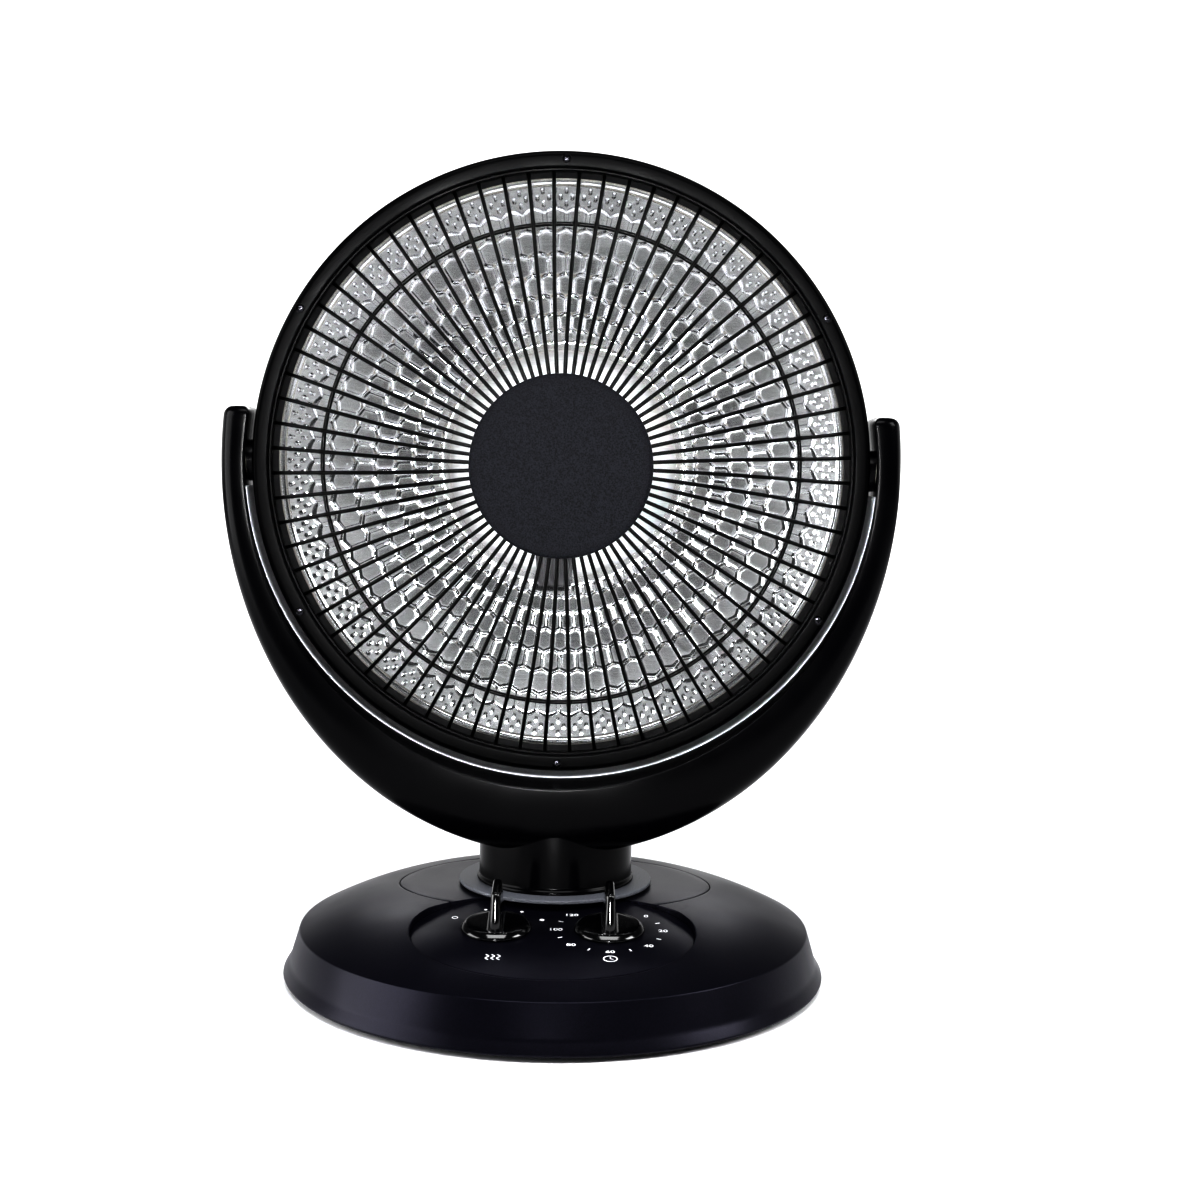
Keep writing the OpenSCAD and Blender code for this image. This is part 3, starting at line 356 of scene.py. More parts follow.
# Behind the object the paper is lit up to a low height, and above it the studio is dim.
DIM, LIT = 0.08, 1.0
world = bpy.data.worlds.new("studio")
bpy.context.scene.world = world
world.use_nodes = True
tree = world.node_tree
look = add(tree, "ShaderNodeTexCoord").outputs["Generated"]
look = add(tree, "ShaderNodeSeparateXYZ", {0: look}).outputs
low = add(tree, "ShaderNodeMapRange", {"Value": look["Z"], "From Min": 0.12, "From Max": 0.4,
                                       "To Min": LIT, "To Max": DIM}, interpolation_type="SMOOTHSTEP")
back = add(tree, "ShaderNodeMapRange", {"Value": look["Y"], "From Min": -0.1, "From Max": 0.5,
                                        "To Min": DIM, "To Max": LIT}, interpolation_type="SMOOTHSTEP")
lit = add(tree, "ShaderNodeMath", {0: low, 1: back}, operation="MINIMUM")
seen = add(tree, "ShaderNodeLightPath").outputs["Is Camera Ray"]
power = add(tree, "ShaderNodeMath", {0: lit, 1: seen}, operation="MAXIMUM").outputs["Value"]
tree.links.new(power, tree.nodes["Background"].inputs["Strength"])
tree.nodes["Background"].inputs["Color"].default_value = colour("#ffffff")
view = bpy.context.scene.view_settings
view.view_transform, view.exposure, view.gamma = "Standard", 0.6, 0.6
print("paper,", len(bpy.data.lights), "soft boxes and the studio")

# %% [markdown]
# ## Finishes
# Most of the heater is black, and what tells the pieces apart is how they shine: satin grained ABS
# on the base, polished ABS on yoke and ring, baked enamel on the wires, and a matt speckled hub.
# Each pattern below is scaled from a real size, the grain of the mould or the line of the roller.

# %% How a material is made
def grain(tree, shader, size_mm, depth_mm, detail=3.0, place=None):
    """A mould's grain: noise of one real size as bump, with its depth in millimetres."""
    place = place or add(tree, "ShaderNodeTexCoord").outputs["Object"]
    noise = add(tree, "ShaderNodeTexNoise",
                {"Vector": place, "Scale": 1 / (size_mm * MM), "Detail": detail})
    bump = add(tree, "ShaderNodeBump", {"Height": noise, "Distance": depth_mm * MM, "Strength": 1.0})
    tree.links.new(bump.outputs["Normal"], shader.inputs["Normal"])
    return noise


def vary_roughness(tree, shader, size_mm, low, high):
    """Handling and moulding leave broad patches that shine a little more or less."""
    place = add(tree, "ShaderNodeTexCoord").outputs["Object"]
    noise = add(tree, "ShaderNodeTexNoise",
                {"Vector": place, "Scale": 1 / (size_mm * MM), "Detail": 2.0})
    patches = add(tree, "ShaderNodeMapRange", {"Value": noise, "From Min": 0.35, "From Max": 0.65,
                                               "To Min": low, "To Max": high}).outputs["Result"]
    tree.links.new(patches, shader.inputs["Roughness"])


def vary_colour(tree, shader, noise, dark, light, low=0.4, high=0.6):
    """Two near shades of the same material, mixed by the grain."""
    shades = add(tree, "ShaderNodeValToRGB", {"Fac": noise})
    for stop, place, code in zip(shades.color_ramp.elements, (low, high), (dark, light)):
        stop.position, stop.color = place, colour(code)
    tree.links.new(shades.outputs["Color"], shader.inputs["Base Color"])


def grained(name, code, rough, size_mm, depth_mm, detail=3.0, shades=None, patches=None, **values):
    """A material with a grain, and with two shades of colour, patches of gloss or both."""
    material, tree, shader = start_material(name, code, rough, **values)
    noise = grain(tree, shader, size_mm, depth_mm, detail)
    if shades:
        vary_colour(tree, shader, noise, *shades)
    if patches:
        vary_roughness(tree, shader, *patches)
    return material


def satin_abs(name, dark, light, low, high, grain_mm=0.9, depth_mm=0.035, shine=0.22):
    """ABS from an etched mould: fine even grain, a soft sheen, near-black with a blue cast."""
    return grained(name, light, high, grain_mm, depth_mm, shades=(dark, light), patches=(60, low, high),
                   shine=shine, tint="#dedcf4")


def polished_abs(name, code, low, high, shine):
    """ABS from a polished mould: deep black, with the faint long waves that moulding leaves."""
    return grained(name, code, high, 26, 0.05, 1.0, patches=(45, low, high), shine=shine)


# %% The materials
# The base and its panel fade from black to a soft grey along each curve; the yoke and the knobs show
# lights as clear streaks, while the ring's duller gloss leaves it the blackest outline of the head.
base_abs = satin_abs("etched_abs_base", "#0a0a12", "#100f19", 0.3, 0.38)
panel_abs = satin_abs("etched_abs_panel", "#0a0a13", "#11101b", 0.28, 0.36, 0.7, 0.02)
yoke_abs = polished_abs("polished_abs_yoke", "#030305", 0.18, 0.26, 0.11)
ring_abs = polished_abs("polished_abs_ring", "#020203", 0.3, 0.38, 0.05)
knob_abs = polished_abs("polished_abs_knob", "#050507", 0.09, 0.14, 0.6)
housing_abs = satin_abs("etched_abs_housing", "#101013", "#18181c", 0.34, 0.44, 1.1, 0.05, 0.5)

# Matt ABS of the hub: a fine speckle with almost no sheen, so that it reads as one flat dark disc.
hub_abs = grained("matt_abs_hub", "#17181c", 0.6, 0.8, 0.05, 4.0, ("#0c0c0f", "#1b1c21", 0.38, 0.62),
                  shine=0.08)

# Grained ABS of the turntable: a mid grey that parts the black neck from the black base.
disc_abs = grained("grained_abs_disc", "#5c5e64", 0.5, 0.7, 0.05, 4.0,
                   ("#4e5055", "#6a6c72", 0.38, 0.62))

# Painted sheen: pale grained ABS that draws the light the yoke's inside reflects as one thin line.
sheen_strip_abs = grained("pale_abs_painted_sheen", "#c4c6cc", 0.52, 0.7, 0.05, 4.0,
                   ("#b4b6bc", "#d2d4da", 0.38, 0.62))

# Baked enamel on wire: black enough to cut sharply across the bright dish.
wire_enamel = grained("baked_enamel_wire", "#030303", 0.32, 3.0, 0.02, 2.0, shine=0.12)

# Bright rolled aluminium: each cell mirrors the room a little differently, with the roller's faint
# lines across it. Near the element heat has dulled the sheet, and the eye sees one white glow.
DULL, BRIGHT = 0.46, 0.14
bright_sheet, tree, shader = start_material("bright_rolled_aluminium", "#e1e2e4", BRIGHT, 1.0)
place = add(tree, "ShaderNodeTexCoord").outputs["Object"]
stretch = add(tree, "ShaderNodeMapping", {"Vector": place, "Scale": (1.0, 1.0, 26.0)})
rolling = grain(tree, shader, 9.0, 0.012, 4.0, stretch.outputs["Vector"])
vary_colour(tree, shader, rolling, "#d9dadc", "#f0f1f3", 0.3, 0.7)
from_axis = add(tree, "ShaderNodeMapping", {"Vector": place, "Scale": (1.0, 0.0, 1.0),
                                            "Location": (0, 0, -PIVOT_Z * MM)})
off_axis = add(tree, "ShaderNodeVectorMath", {0: from_axis}, operation="LENGTH").outputs["Value"]
dulled = add(tree, "ShaderNodeMapRange",
             {"Value": off_axis, "From Min": 0.045, "From Max": 0.09, "To Min": DULL, "To Max": BRIGHT},
             interpolation_type="SMOOTHSTEP")
tree.links.new(dulled.outputs["Result"], shader.inputs["Roughness"])

# Zinc plate: a pale, slightly uneven metal shine, which makes the small screws glint.
zinc_steel = grained("zinc_plated_steel", "#b4b6ba", 0.34, 0.8, 0.01,
                     patches=(6, 0.28, 0.42), metal=1.0)

# White stove enamel on the plate behind the hub: the middle of the dish mirrors it as white.
clamp_enamel = grained("white_stove_enamel", "#f2f2f0", 0.5, 0.8, 0.03,
                       patches=(12, 0.44, 0.56), ior=1.52)

# Black oxide: dark steel whose edges keep a dull metal shine.
black_oxide = grained("black_oxide_steel", "#1a1a1c", 0.42, 0.7, 0.01,
                      patches=(5, 0.36, 0.5), metal=0.6)

# Black nickel on the ring's screws: dark, with one tiny glint on each domed head.
black_nickel = grained("black_nickel_plate", "#3c3c40", 0.16, 1.2, 0.004,
                       patches=(4, 0.14, 0.2), metal=1.0)

# Bisque porcelain: a dry warm white without a highlight.
porcelain = grained("bisque_porcelain", "#ece9e0", 0.7, 1.1, 0.03,
                    shades=("#e2ded3", "#f2efe8", 0.3, 0.7), ior=1.55)

# Drawn resistance wire: a grey metal that its oxide turns slightly warm.
oxide_wire = grained("drawn_resistance_wire", "#b9b4ac", 0.34, 0.9, 0.02,
                     shades=("#a7a199", "#c9c5bd", 0.35, 0.65), metal=1.0)

# Moulded rubber: dull, and a shade greyer than the plastics beside it.
foot_rubber = grained("moulded_rubber", "#141414", 0.78, 1.0, 0.06, patches=(8, 0.7, 0.85), ior=1.52)

# Painted shade: dull black that stands for the ring's shadow where the dish's rim meets the guard.
painted_shade_black = grained("black_painted_shade_band", "#0d0d0f", 0.75, 0.6, 0.05, patches=(5, 0.68, 0.82))

# Natural nylon: milky white with a waxy sheen.
nylon = grained("natural_nylon", "#dcd8ca", 0.45, 1.2, 0.02, patches=(10, 0.38, 0.5), ior=1.53)

# Red ABS: a clear colour that marks the safety plunger under the base.
signal_abs = grained("red_abs", "#c23220", 0.35, 1.2, 0.02, patches=(6, 0.3, 0.42))

# Pad-printed ink: its white varies a little, as a thin coat over black does.
pad_print = grained("pad_printed_white_ink", "#e9eaec", 0.5, 0.35, 0.01,
                    shades=("#d4d6da", "#f2f3f5", 0.35, 0.6))

# Hot-rolled plate: mottled blue-grey mill scale.
mill_steel = grained("hot_rolled_steel", "#57585c", 0.5, 2.5, 0.05,
                     shades=("#47484b", "#66676b"), metal=1.0)

# Yellow chromated steel: the pale gold of a motor's or a timer's case.
zinc_case = grained("yellow_chromated_steel", "#b3a886", 0.38, 1.5, 0.015,
                    shades=("#a89b74", "#bfb596"), metal=1.0)

# Phenolic moulding: hard and brownish black, with fine specks of filler.
case_resin = grained("moulded_phenolic", "#232326", 0.45, 0.8, 0.03,
                     shades=("#1c1c1f", "#2a2a2e"), ior=1.55)
print("materials:", len(bpy.data.materials))

# %% [markdown]
# ## Base
# The cover of the base is one moulding: an upright rim, a chamfer, a crease and a low dome. Two oval
# openings share it, one round the neck and one for the dials, and where they cross they make one
# cut-out. A lathe shape with a boolean would leave long thin faces at the cut, so the dome is a grid
# that starts at the cut-out's edge on every ray, and the edge stays clean.

# %% The dome's line and the two ovals
RIM_LEAN, RIM_Z, CREASE_IN, CREASE_Z, FLAT_R, SHELL_Z = 4, 10.5, 9.5, 28.5, 84, 2.5
PANEL_Y, PANEL_TILT, PANEL_A, PANEL_B, PANEL_T = -74, math.radians(6.5), 77.5, 59, 2.5
ISLAND_A, ISLAND_B = 92, 63
SEAM_GAP, LEDGE_W, SHELL_WALL = 0.15, 7, 3
EDGE, EDGE_MID = 0.9, 0.25
TILT_COS, TILT_SIN = math.cos(PANEL_TILT), math.sin(PANEL_TILT)
CREASE_R = BASE_R - CREASE_IN
PANEL_Z = PLATEAU_Z - PANEL_B * TILT_COS * math.tan(PANEL_TILT)

share = np.linspace(0, 1, 200)
bend_r = mix(FLAT_R, CREASE_R, 0.45)
curve_r = CREASE_R * (1 - share) ** 2 + bend_r * 2 * share * (1 - share) + FLAT_R * share**2
curve_z = CREASE_Z * (1 - share) ** 2 + (PLATEAU_Z - 2) * 2 * share * (1 - share) + PLATEAU_Z * share**2


def dome_z(r):
    """Height of the dome at radius r: flat in the middle, then a curve of order two to the crease."""
    return np.interp(r, curve_r[::-1], curve_z[::-1])


def panel_plane(y):
    """Height of the sloping panel's face at depth y."""
    return PANEL_Z + (y - PANEL_Y) * math.tan(PANEL_TILT)


def reach(angle, middle_y, a, b, start_y=0.0, side=1):
    """Distance from (0, start_y) along a ray to an oval: its far side (1) or its near side (-1)."""
    cos, sin, offset = np.cos(angle), np.sin(angle), start_y - middle_y
    p, q, s = (cos / a) ** 2 + (sin / b) ** 2, offset * sin / b**2, (offset / b) ** 2 - 1
    inside = q**2 - p * s
    return np.where(inside > 0, (-q + side * np.sqrt(np.maximum(inside, 0))) / p, 0.0)


def in_panel(x, y):
    """Whether a point lies in the panel's oval, seen from above."""
    return (x / PANEL_A) ** 2 + ((y - PANEL_Y) / (PANEL_B * TILT_COS)) ** 2 < 1


print(f"dome {dome_z(0):.1f} to {dome_z(CREASE_R):.1f} mm, panel at {panel_plane(PANEL_Y):.1f} mm")

# %% Base cover
angle = rays_of(480)[:, None]
seam = np.maximum(reach(angle, PANEL_Y, PANEL_A + SEAM_GAP, (PANEL_B + SEAM_GAP) * TILT_COS),
                  reach(angle, NECK_Y, ISLAND_A + SEAM_GAP, ISLAND_B + SEAM_GAP))
ledge = seam - LEDGE_W
ledge_y = ledge * np.sin(angle)
seat = np.where(in_panel(ledge * np.cos(angle), ledge_y), panel_plane(ledge_y), PLATEAU_Z) - PANEL_T
top_r = mix(seam + 0.8, CREASE_R - 1.2, np.linspace(0, 1, 26) ** 1.2)
skirt = rounded([(CREASE_R - 1.2, dome_z(CREASE_R - 1.2)), (CREASE_R, CREASE_Z),
                 (BASE_R - RIM_LEAN, RIM_Z), (BASE_R, SHELL_Z + 1.5), (BASE_R - 1.5, SHELL_Z),
                 (BASE_R - 1.5 - SHELL_WALL, SHELL_Z), (BASE_R - RIM_LEAN - SHELL_WALL, RIM_Z),
                 (CREASE_R - 4, CREASE_Z - SHELL_WALL)],
                [0, 2.4, 1.6, 1, 1, 0.5, 1, 1], 6, False)
skirt_r, skirt_z = [skirt[:, k] + 0 * seam for k in (0, 1)]
radii = np.concatenate([ledge, seam, seam, seam + 0.25, top_r, skirt_r, seam + 4, ledge], 1)
heights = np.concatenate([seat, seat, dome_z(seam) - 0.8, dome_z(seam) - 0.25, dome_z(top_r), skirt_z,
                          dome_z(seam + 4) - SHELL_WALL, seat - SHELL_WALL], 1)
base_cover = make_piece("base_cover", [(polar(radii, angle, heights), "both")], "base", base_abs,
                        "base_shell")

# %% [markdown]
# ## Island, panel, turntable and neck
# The island and the panel drop into the cut-out, and their rounded edges make the thin dark seam
# with its light edge. Both are grids of rays from a middle point. The turntable and the neck are
# round, so each is one closed profile turned round the swivel's axis.

# %% Island
NECK_HOLE_R, PANEL_GAP, ISLAND_T = 24.2, 0.3, 2.45
rays = rays_of(360)[:, None]
to_oval = reach(rays, NECK_Y, ISLAND_A, ISLAND_B, NECK_Y)
to_panel = reach(rays, PANEL_Y, PANEL_A + PANEL_GAP, (PANEL_B + PANEL_GAP) * TILT_COS, NECK_Y, -1)
edge = np.where(to_panel > 0, np.minimum(to_oval, to_panel), to_oval)
hole, under = np.full_like(edge, NECK_HOLE_R), np.full_like(edge, PLATEAU_Z - ISLAND_T)
top_r = mix(hole, edge - EDGE, np.linspace(0, 1, 14))


def island_top(r):
    """The dome's height below each point of a ray from the neck's axis."""
    return dome_z(np.hypot(r * np.cos(rays), NECK_Y + r * np.sin(rays)))


radii = np.concatenate([hole, top_r, edge - EDGE_MID, edge, edge], 1)
heights = np.concatenate([under, island_top(top_r), island_top(edge) - EDGE_MID,
                          island_top(edge) - EDGE, under], 1)
make_piece("neck_oval", [(on_neck(polar(radii, rays, heights)), "both")], "base", base_abs,
           "neck_island")


# %% Panel
def on_panel(points):
    """Points in the panel's own axes (right, up the slope, out of its face) to the frame."""
    x, y, z = np.moveaxis(points, -1, 0)
    depth, height = y * TILT_COS - z * TILT_SIN, y * TILT_SIN + z * TILT_COS
    return np.stack([x, PANEL_Y + depth, PANEL_Z + height], -1)


grow = np.array([0, -EDGE, -EDGE_MID, 0, 0, 0])[:, None]
share = np.array([0, 1, 1, 1, 1, 0])[:, None]
low = np.array([0, 0, -EDGE_MID, -EDGE, -PANEL_T, -PANEL_T])[:, None]
oval = np.stack([PANEL_A * np.cos(rays), PANEL_B * np.sin(rays)], -1)
outward = oval / np.array([PANEL_A**2, PANEL_B**2])
outward /= np.linalg.norm(outward, axis=-1, keepdims=True)
flat = oval * share + outward * grow
panel = np.concatenate([flat, np.broadcast_to(low, flat.shape[:2] + (1,))], -1)
dial_panel = make_piece("dial_panel", [(on_panel(panel), "rows")], "base", panel_abs,
                        "control_fascia")

# %% Turntable and neck
SPINDLE_R, SPINDLE_BORE, NECK_WALL, WIRE_HOLE_R = 20, 16, 4, 12
disc_low = PLATEAU_Z + 1.3
disc = rounded([(SPINDLE_R + 1, disc_low), (DISC_R, disc_low), (DISC_R, DISC_TOP),
                (SPINDLE_R + 1, DISC_TOP)], 0.7)
turned_piece("turn_disc", disc, 240, on_neck, "yoke", disc_abs, "turntable")

neck_low, neck_high = [corner[2] for corner in box_mm("neck")]
neck_in = NECK_R - NECK_WALL
section = rounded([(SPINDLE_BORE, neck_low), (SPINDLE_R, neck_low), (SPINDLE_R, DISC_TOP),
                   (NECK_R + 1.2, DISC_TOP), (NECK_R + 1.2, DISC_TOP + 1.6), (NECK_R, DISC_TOP + 3),
                   (NECK_R, neck_high), (WIRE_HOLE_R, neck_high), (WIRE_HOLE_R, neck_high - NECK_WALL),
                   (neck_in, neck_high - NECK_WALL), (neck_in, DISC_TOP + 3.5),
                   (SPINDLE_BORE, DISC_TOP + 3.5)],
                  [0.3, 0.3, 0.3, 0.6, 0.8, 1.5, 1, 0.5, 0.5, 1, 1, 0.5], 4)
turned_piece("neck_tube", section, 240, on_neck, "yoke", yoke_abs, "neck")

# %% [markdown]
# ## Yoke
# The crescent is two mouldings that meet in one upright plane. Each is lofted: a section is carried
# round from arm to arm while its thickness, depth and squareness change. The section is a
# superellipse on the outside and flat on the inside, with a small groove where the halves meet.

# %% Stations of the crescent
YOKE_IN, CAP_R, ARM_DEPTH = 181.7, 5.0, 16.0
ARM_POWER, BOWL_POWER = 2.8, 4.2
CORNER_R, GROOVE, GROOVE_W, SPLIT = 1.3, 0.35, 0.6, 0.04


def inner_line(up):
    """Distance of the arm's inner side from the middle, above the trunnion."""
    return mix(YOKE_IN, RING_R + 0.6, (np.maximum(up, 0) / ARM_TOP) ** 1.5)


def bowl_radius(a):
    """Radius of the crescent's outer oval at the angle a below the trunnion axis."""
    return ARM_X * BOWL_LOW / np.hypot(BOWL_LOW * np.cos(a), ARM_X * np.sin(a))


def stations():
    """Rows of (inner x, inner z, outer x, outer z, half depth, squareness) from arm tip to bottom."""
    a = np.linspace(np.pi / 2, 0, 9)
    cap = ARM_TOP - CAP_R
    up = np.concatenate([cap + CAP_R * np.sin(a), np.linspace(cap, 0, 9)[1:-1]])
    inset = np.concatenate([CAP_R * (1 - np.cos(a)), np.zeros(7)])
    outer = ARM_X * np.sqrt(1 - (up / BOWL_LOW) ** 2)
    arm = [inner_line(up) + inset, up, outer - inset, up, ARM_DEPTH - inset, ARM_POWER + 0 * up]
    a = np.linspace(0, np.pi / 2, 76)
    r, s = bowl_radius(a), np.sin(a) ** 2
    bowl = [YOKE_IN * np.cos(a), -YOKE_IN * np.sin(a), r * np.cos(a), -r * np.sin(a),
            mix(ARM_DEPTH, BOWL_DEPTH, s), mix(ARM_POWER, BOWL_POWER, s)]
    half = np.concatenate([np.stack(arm, 1), np.stack(bowl, 1)])
    return np.concatenate([half, half[-2::-1] * np.array([-1, 1, -1, 1, 1, 1])])


def yoke_loft(side):
    """Section: a groove, the flat inside, a corner, u^n + v^n = 1 to the outer line, and a groove."""
    rows = stations()
    inner, outer = rows[:, None, 0:2], rows[:, None, 2:4]
    thick = np.linalg.norm(outer - inner, axis=-1)
    depth, power = rows[:, 4:5], rows[:, 5:6]
    u = np.sin(np.linspace(0, np.pi / 2, 26)) ** (2 / power)
    v = (1 - u**power).clip(0) ** (1 / power)
    first = CORNER_R / thick
    u = first + (1 - first) * u
    v = v * (1 - first**power) ** (1 / power)
    corner = np.linspace(0, 1, 5)[:-1]
    none, lip = 0 * thick, GROOVE_W / thick
    p = np.concatenate([lip, none, first * corner**2, u, 1 - lip], 1)
    q = np.concatenate([none + SPLIT, none + GROOVE, depth - CORNER_R * (1 - corner) ** 2,
                        np.maximum(v * depth, GROOVE), none + SPLIT], 1)
    flat = mix(inner, outer, p[..., None])
    return to_rear(capped(np.stack([flat[..., 0], flat[..., 1], side * q], -1)))


make_piece("yoke_front_half", [(yoke_loft(-1), "columns")], "yoke", yoke_abs,
           "yoke_front")
rear_half = make_piece("yoke_rear_half", [(yoke_loft(1), "columns")], "yoke", yoke_abs,
                       "yoke_rear")

# %% [markdown]
# ## Painted sheen band
# A thin pale band inside the crescent is painted sheen: the light line that the yoke's inner face
# reflects, with a low dip along its middle where the halves meet. A bent box would show flats, so one
# small section of depth and height is carried round the arc, and it tapers away at both ends below
# the pivots.

# %% Painted sheen band on the yoke's inside
SHEEN_BAND_HALF, SHEEN_BAND_T = 14.2, 0.5


def trim_strip():
    """A thin pale band of painted sheen inside the yoke: its section of (depth, height off the wall) is carried
    round.
    """
    degrees = np.concatenate([[184.6, 184.75], np.linspace(185.2, 354.8, 170), [355.25, 355.4]])
    lift = np.concatenate([[0.0, 0.35], np.full(170, SHEEN_BAND_T), [0.35, 0.0]])[:, None]
    share = np.array([-1, -1, -0.985, -0.02, 0, 0.02, 0.985, 1, 1])
    rise = np.array([-0.2, 0.5, 1, 1, 0.3, 1, 1, 0.5, -0.2])
    r = YOKE_IN + 0.02 - lift * rise
    return to_rear(capped(polar(r, np.radians(degrees)[:, None], SHEEN_BAND_HALF * share)))


# The pale band is painted sheen on the yoke's black inside.
make_piece("yoke_painted_sheen_band", [(trim_strip(), "columns")], "yoke", sheen_strip_abs, crease=30)

# %% [markdown]
# ## Front ring and wire guard
# The ring is a deep moulded hoop whose lip holds the rim of the guard. The guard is 72 steel wires
# bent to one curve and welded to two hoops. A wire is a small circle carried along a line, and its
# radius swells a little at each weld.

# %% Ring
LIP_R, LIP_LOW, LIP_TOP = RING_R - 11, RING_FRONT - 4.8, RING_FRONT - 3.2
FACE_IN, CHANNEL_R, SIDE_IN, FACE_T = LIP_R + 1.5, LIP_R + 4.4, RING_R - 2.2, 3
ring_line = rounded([(RING_R, RING_REAR), (RING_R, RING_FRONT), (FACE_IN, RING_FRONT),
                     (FACE_IN, LIP_TOP), (LIP_R, LIP_TOP), (LIP_R, LIP_LOW), (CHANNEL_R, LIP_LOW),
                     (CHANNEL_R, RING_FRONT - FACE_T), (SIDE_IN, RING_FRONT - FACE_T),
                     (SIDE_IN, RING_REAR)],
                    [0.8, 3.4, 1.4, 0.3, 0.7, 0.5, 0.4, 0.4, 1, 0.5], 8)
front_ring = turned_piece("front_ring", ring_line, 360, to_head, "head", ring_abs,
                          "guard_ring")

# %% Wires
SPOKES, SPOKE_R, BEND_R, LEVEL_R = 72, 1.1, 216.0, 45.0
HUB_T, HUB_GAP, LEAD = 5.0, 0.02, math.radians(1.0)
GUARD_Z = HUB_FRONT - HUB_T - HUB_GAP - SPOKE_R
MID_R, MID_WIRE, RIM_WIRE = 137.0, 1.25, 1.5
SPOKE_END, RIM_WELD, WELD_W = LIP_R + 1.1, LIP_R + 0.9, 1.3


def guard_z(r):
    """Height of the guard at radius r: an arc of radius 216 mm that runs level at 45 mm."""
    return GUARD_Z - BEND_R + np.sqrt(BEND_R**2 - (r - LEVEL_R) ** 2)


def beside_spoke(r, wire, side):
    """Centre of a hoop's wire laid against the spokes, outside (1) or inside (-1) the guard."""
    slope = (r - LEVEL_R) / BEND_R
    off = side * (wire + SPOKE_R)
    return np.array([r + off * slope, guard_z(r) + off * math.sqrt(1 - slope**2)])


def hoop(name, r, wire, side, node):
    """A round wire turned round the head's axis."""
    circle = beside_spoke(r, wire, side) + polar(wire, rays_of(12), 0)[:, :2]
    turned_piece(name, circle, 360, to_head, "head", wire_enamel, node)


def spokes():
    """All spokes as one array: an arc in the (radius, height) plane, thickened, then turned."""
    r = np.concatenate([np.linspace(45.3, 133, 24), np.linspace(134.5, 139.5, 7),
                        np.linspace(141, SPOKE_END, 10)])[:, None]
    slope = (r - LEVEL_R) / BEND_R
    near_mid, near_rim = [np.exp(-(((r - weld) / WELD_W) ** 2)) for weld in (MID_R, RIM_WELD)]
    swell = 1 + 0.22 * near_mid + 0.2 * near_rim
    out, across = [SPOKE_R * swell * wave(rays_of(8)) for wave in (np.cos, np.sin)]
    rr, zz = r + out * slope, guard_z(r) + out * np.sqrt(1 - slope**2)
    turn = (np.arange(SPOKES)[:, None, None] + 0.5) * 2 * np.pi / SPOKES
    turn = turn + LEAD * (1 - smooth((rr - LEVEL_R) / 122))
    cos, sin = np.cos(turn), np.sin(turn)
    return np.stack([rr * cos - across * sin, rr * sin + across * cos, zz + 0 * turn], -1)


make_piece("guard_wires", [(to_head(capped(wire)), "columns") for wire in spokes()],
           "head", wire_enamel, "guard_spokes", 60)
hoop("mid_hoop", MID_R, MID_WIRE, -1, "guard_mid_ring")
hoop("rim_hoop", RIM_WELD, RIM_WIRE, 1, "guard_rim_ring")

# %% Hub
CLAMP_T, CLAMP_BORE, CLAMP_STEP = 3, 10, 44
hub_low = HUB_FRONT - HUB_T
cap_line = rounded([(0, HUB_FRONT - 0.5), (HUB_R - 6, HUB_FRONT - 0.25), (HUB_R - 3, HUB_FRONT),
                    (HUB_R, HUB_FRONT - 0.6), (HUB_R, hub_low), (0, hub_low)],
                   [0, 3, 1.5, 1.2, 0.4, 0], 6, False)
turned_piece("hub_disc", cap_line, 192, to_head, "head", hub_abs, "hub_cap", "columns")

wire_low, clamp_top = hub_low - 2 * SPOKE_R - 0.12, hub_low - 0.05
clamp_line = rounded([(CLAMP_BORE, wire_low - CLAMP_T), (HUB_R - 1, wire_low - CLAMP_T),
                      (HUB_R - 1, wire_low), (CLAMP_STEP, wire_low), (CLAMP_STEP, clamp_top),
                      (CLAMP_BORE, clamp_top)], 0.5, 4)
turned_piece("hub_clamp", clamp_line, 144, to_head, "head", clamp_enamel, "hub_back")

# %% [markdown]
# ## Reflector
# The dish is pressed from thin bright sheet. Rows of six-sided cells are stamped into it so that it
# scatters the heat, and an outer band carries small dimples. The emboss is a height added to the
# dish: each cell is a flat pillow whose edge slopes down to a groove, found from the distances to
# the two nearest cell centres. The grid's columns halve towards the middle, where cells get narrow.

# %% Emboss
CELLS, LAST_ROW, DIMPLES = 72, 7, 144
ROW_EDGES = np.array([69.0, 75.0, 81.5, 91.0, 101.5, 113.3, 125.0, 137.5, 150.0, 162.5])
ROW_STEP, ZIGZAG, ARCH, FAR = 1.15, 0.0945, 0.24, 9.0
DISH_R, DISH_DEEP, DISH_RIM_Z = 163.2, 69.0, -3.7


def dish_z(r):
    """Height of the dish at radius r: a parabola 69 mm deep."""
    return DISH_RIM_Z - DISH_DEEP * (1 - (r / DISH_R) ** 2)


def arch_row(u):
    """Outer edge of the last row: an arch over each cell, highest at the cell's middle."""
    return LAST_ROW + 1.04 - ARCH * (2 * (u % 1) - 1) ** 2


def cell_radius(p, a):
    """Radius of the line p on the ray a; whole p are the edges of the rows, which zigzag evenly."""
    u = a * CELLS / (2 * np.pi)
    zigzag = ZIGZAG * np.cos(np.pi * p) * (1 - 4 * np.abs(u % 1 - 0.5))
    arch = np.clip(2 * (p - LAST_ROW) - 1, 0, 1) * (arch_row(u) - LAST_ROW - 1)
    row = p + np.where(p > LAST_ROW + 0.5, arch, zigzag)
    return np.interp(row, np.arange(len(ROW_EDGES)), ROW_EDGES)


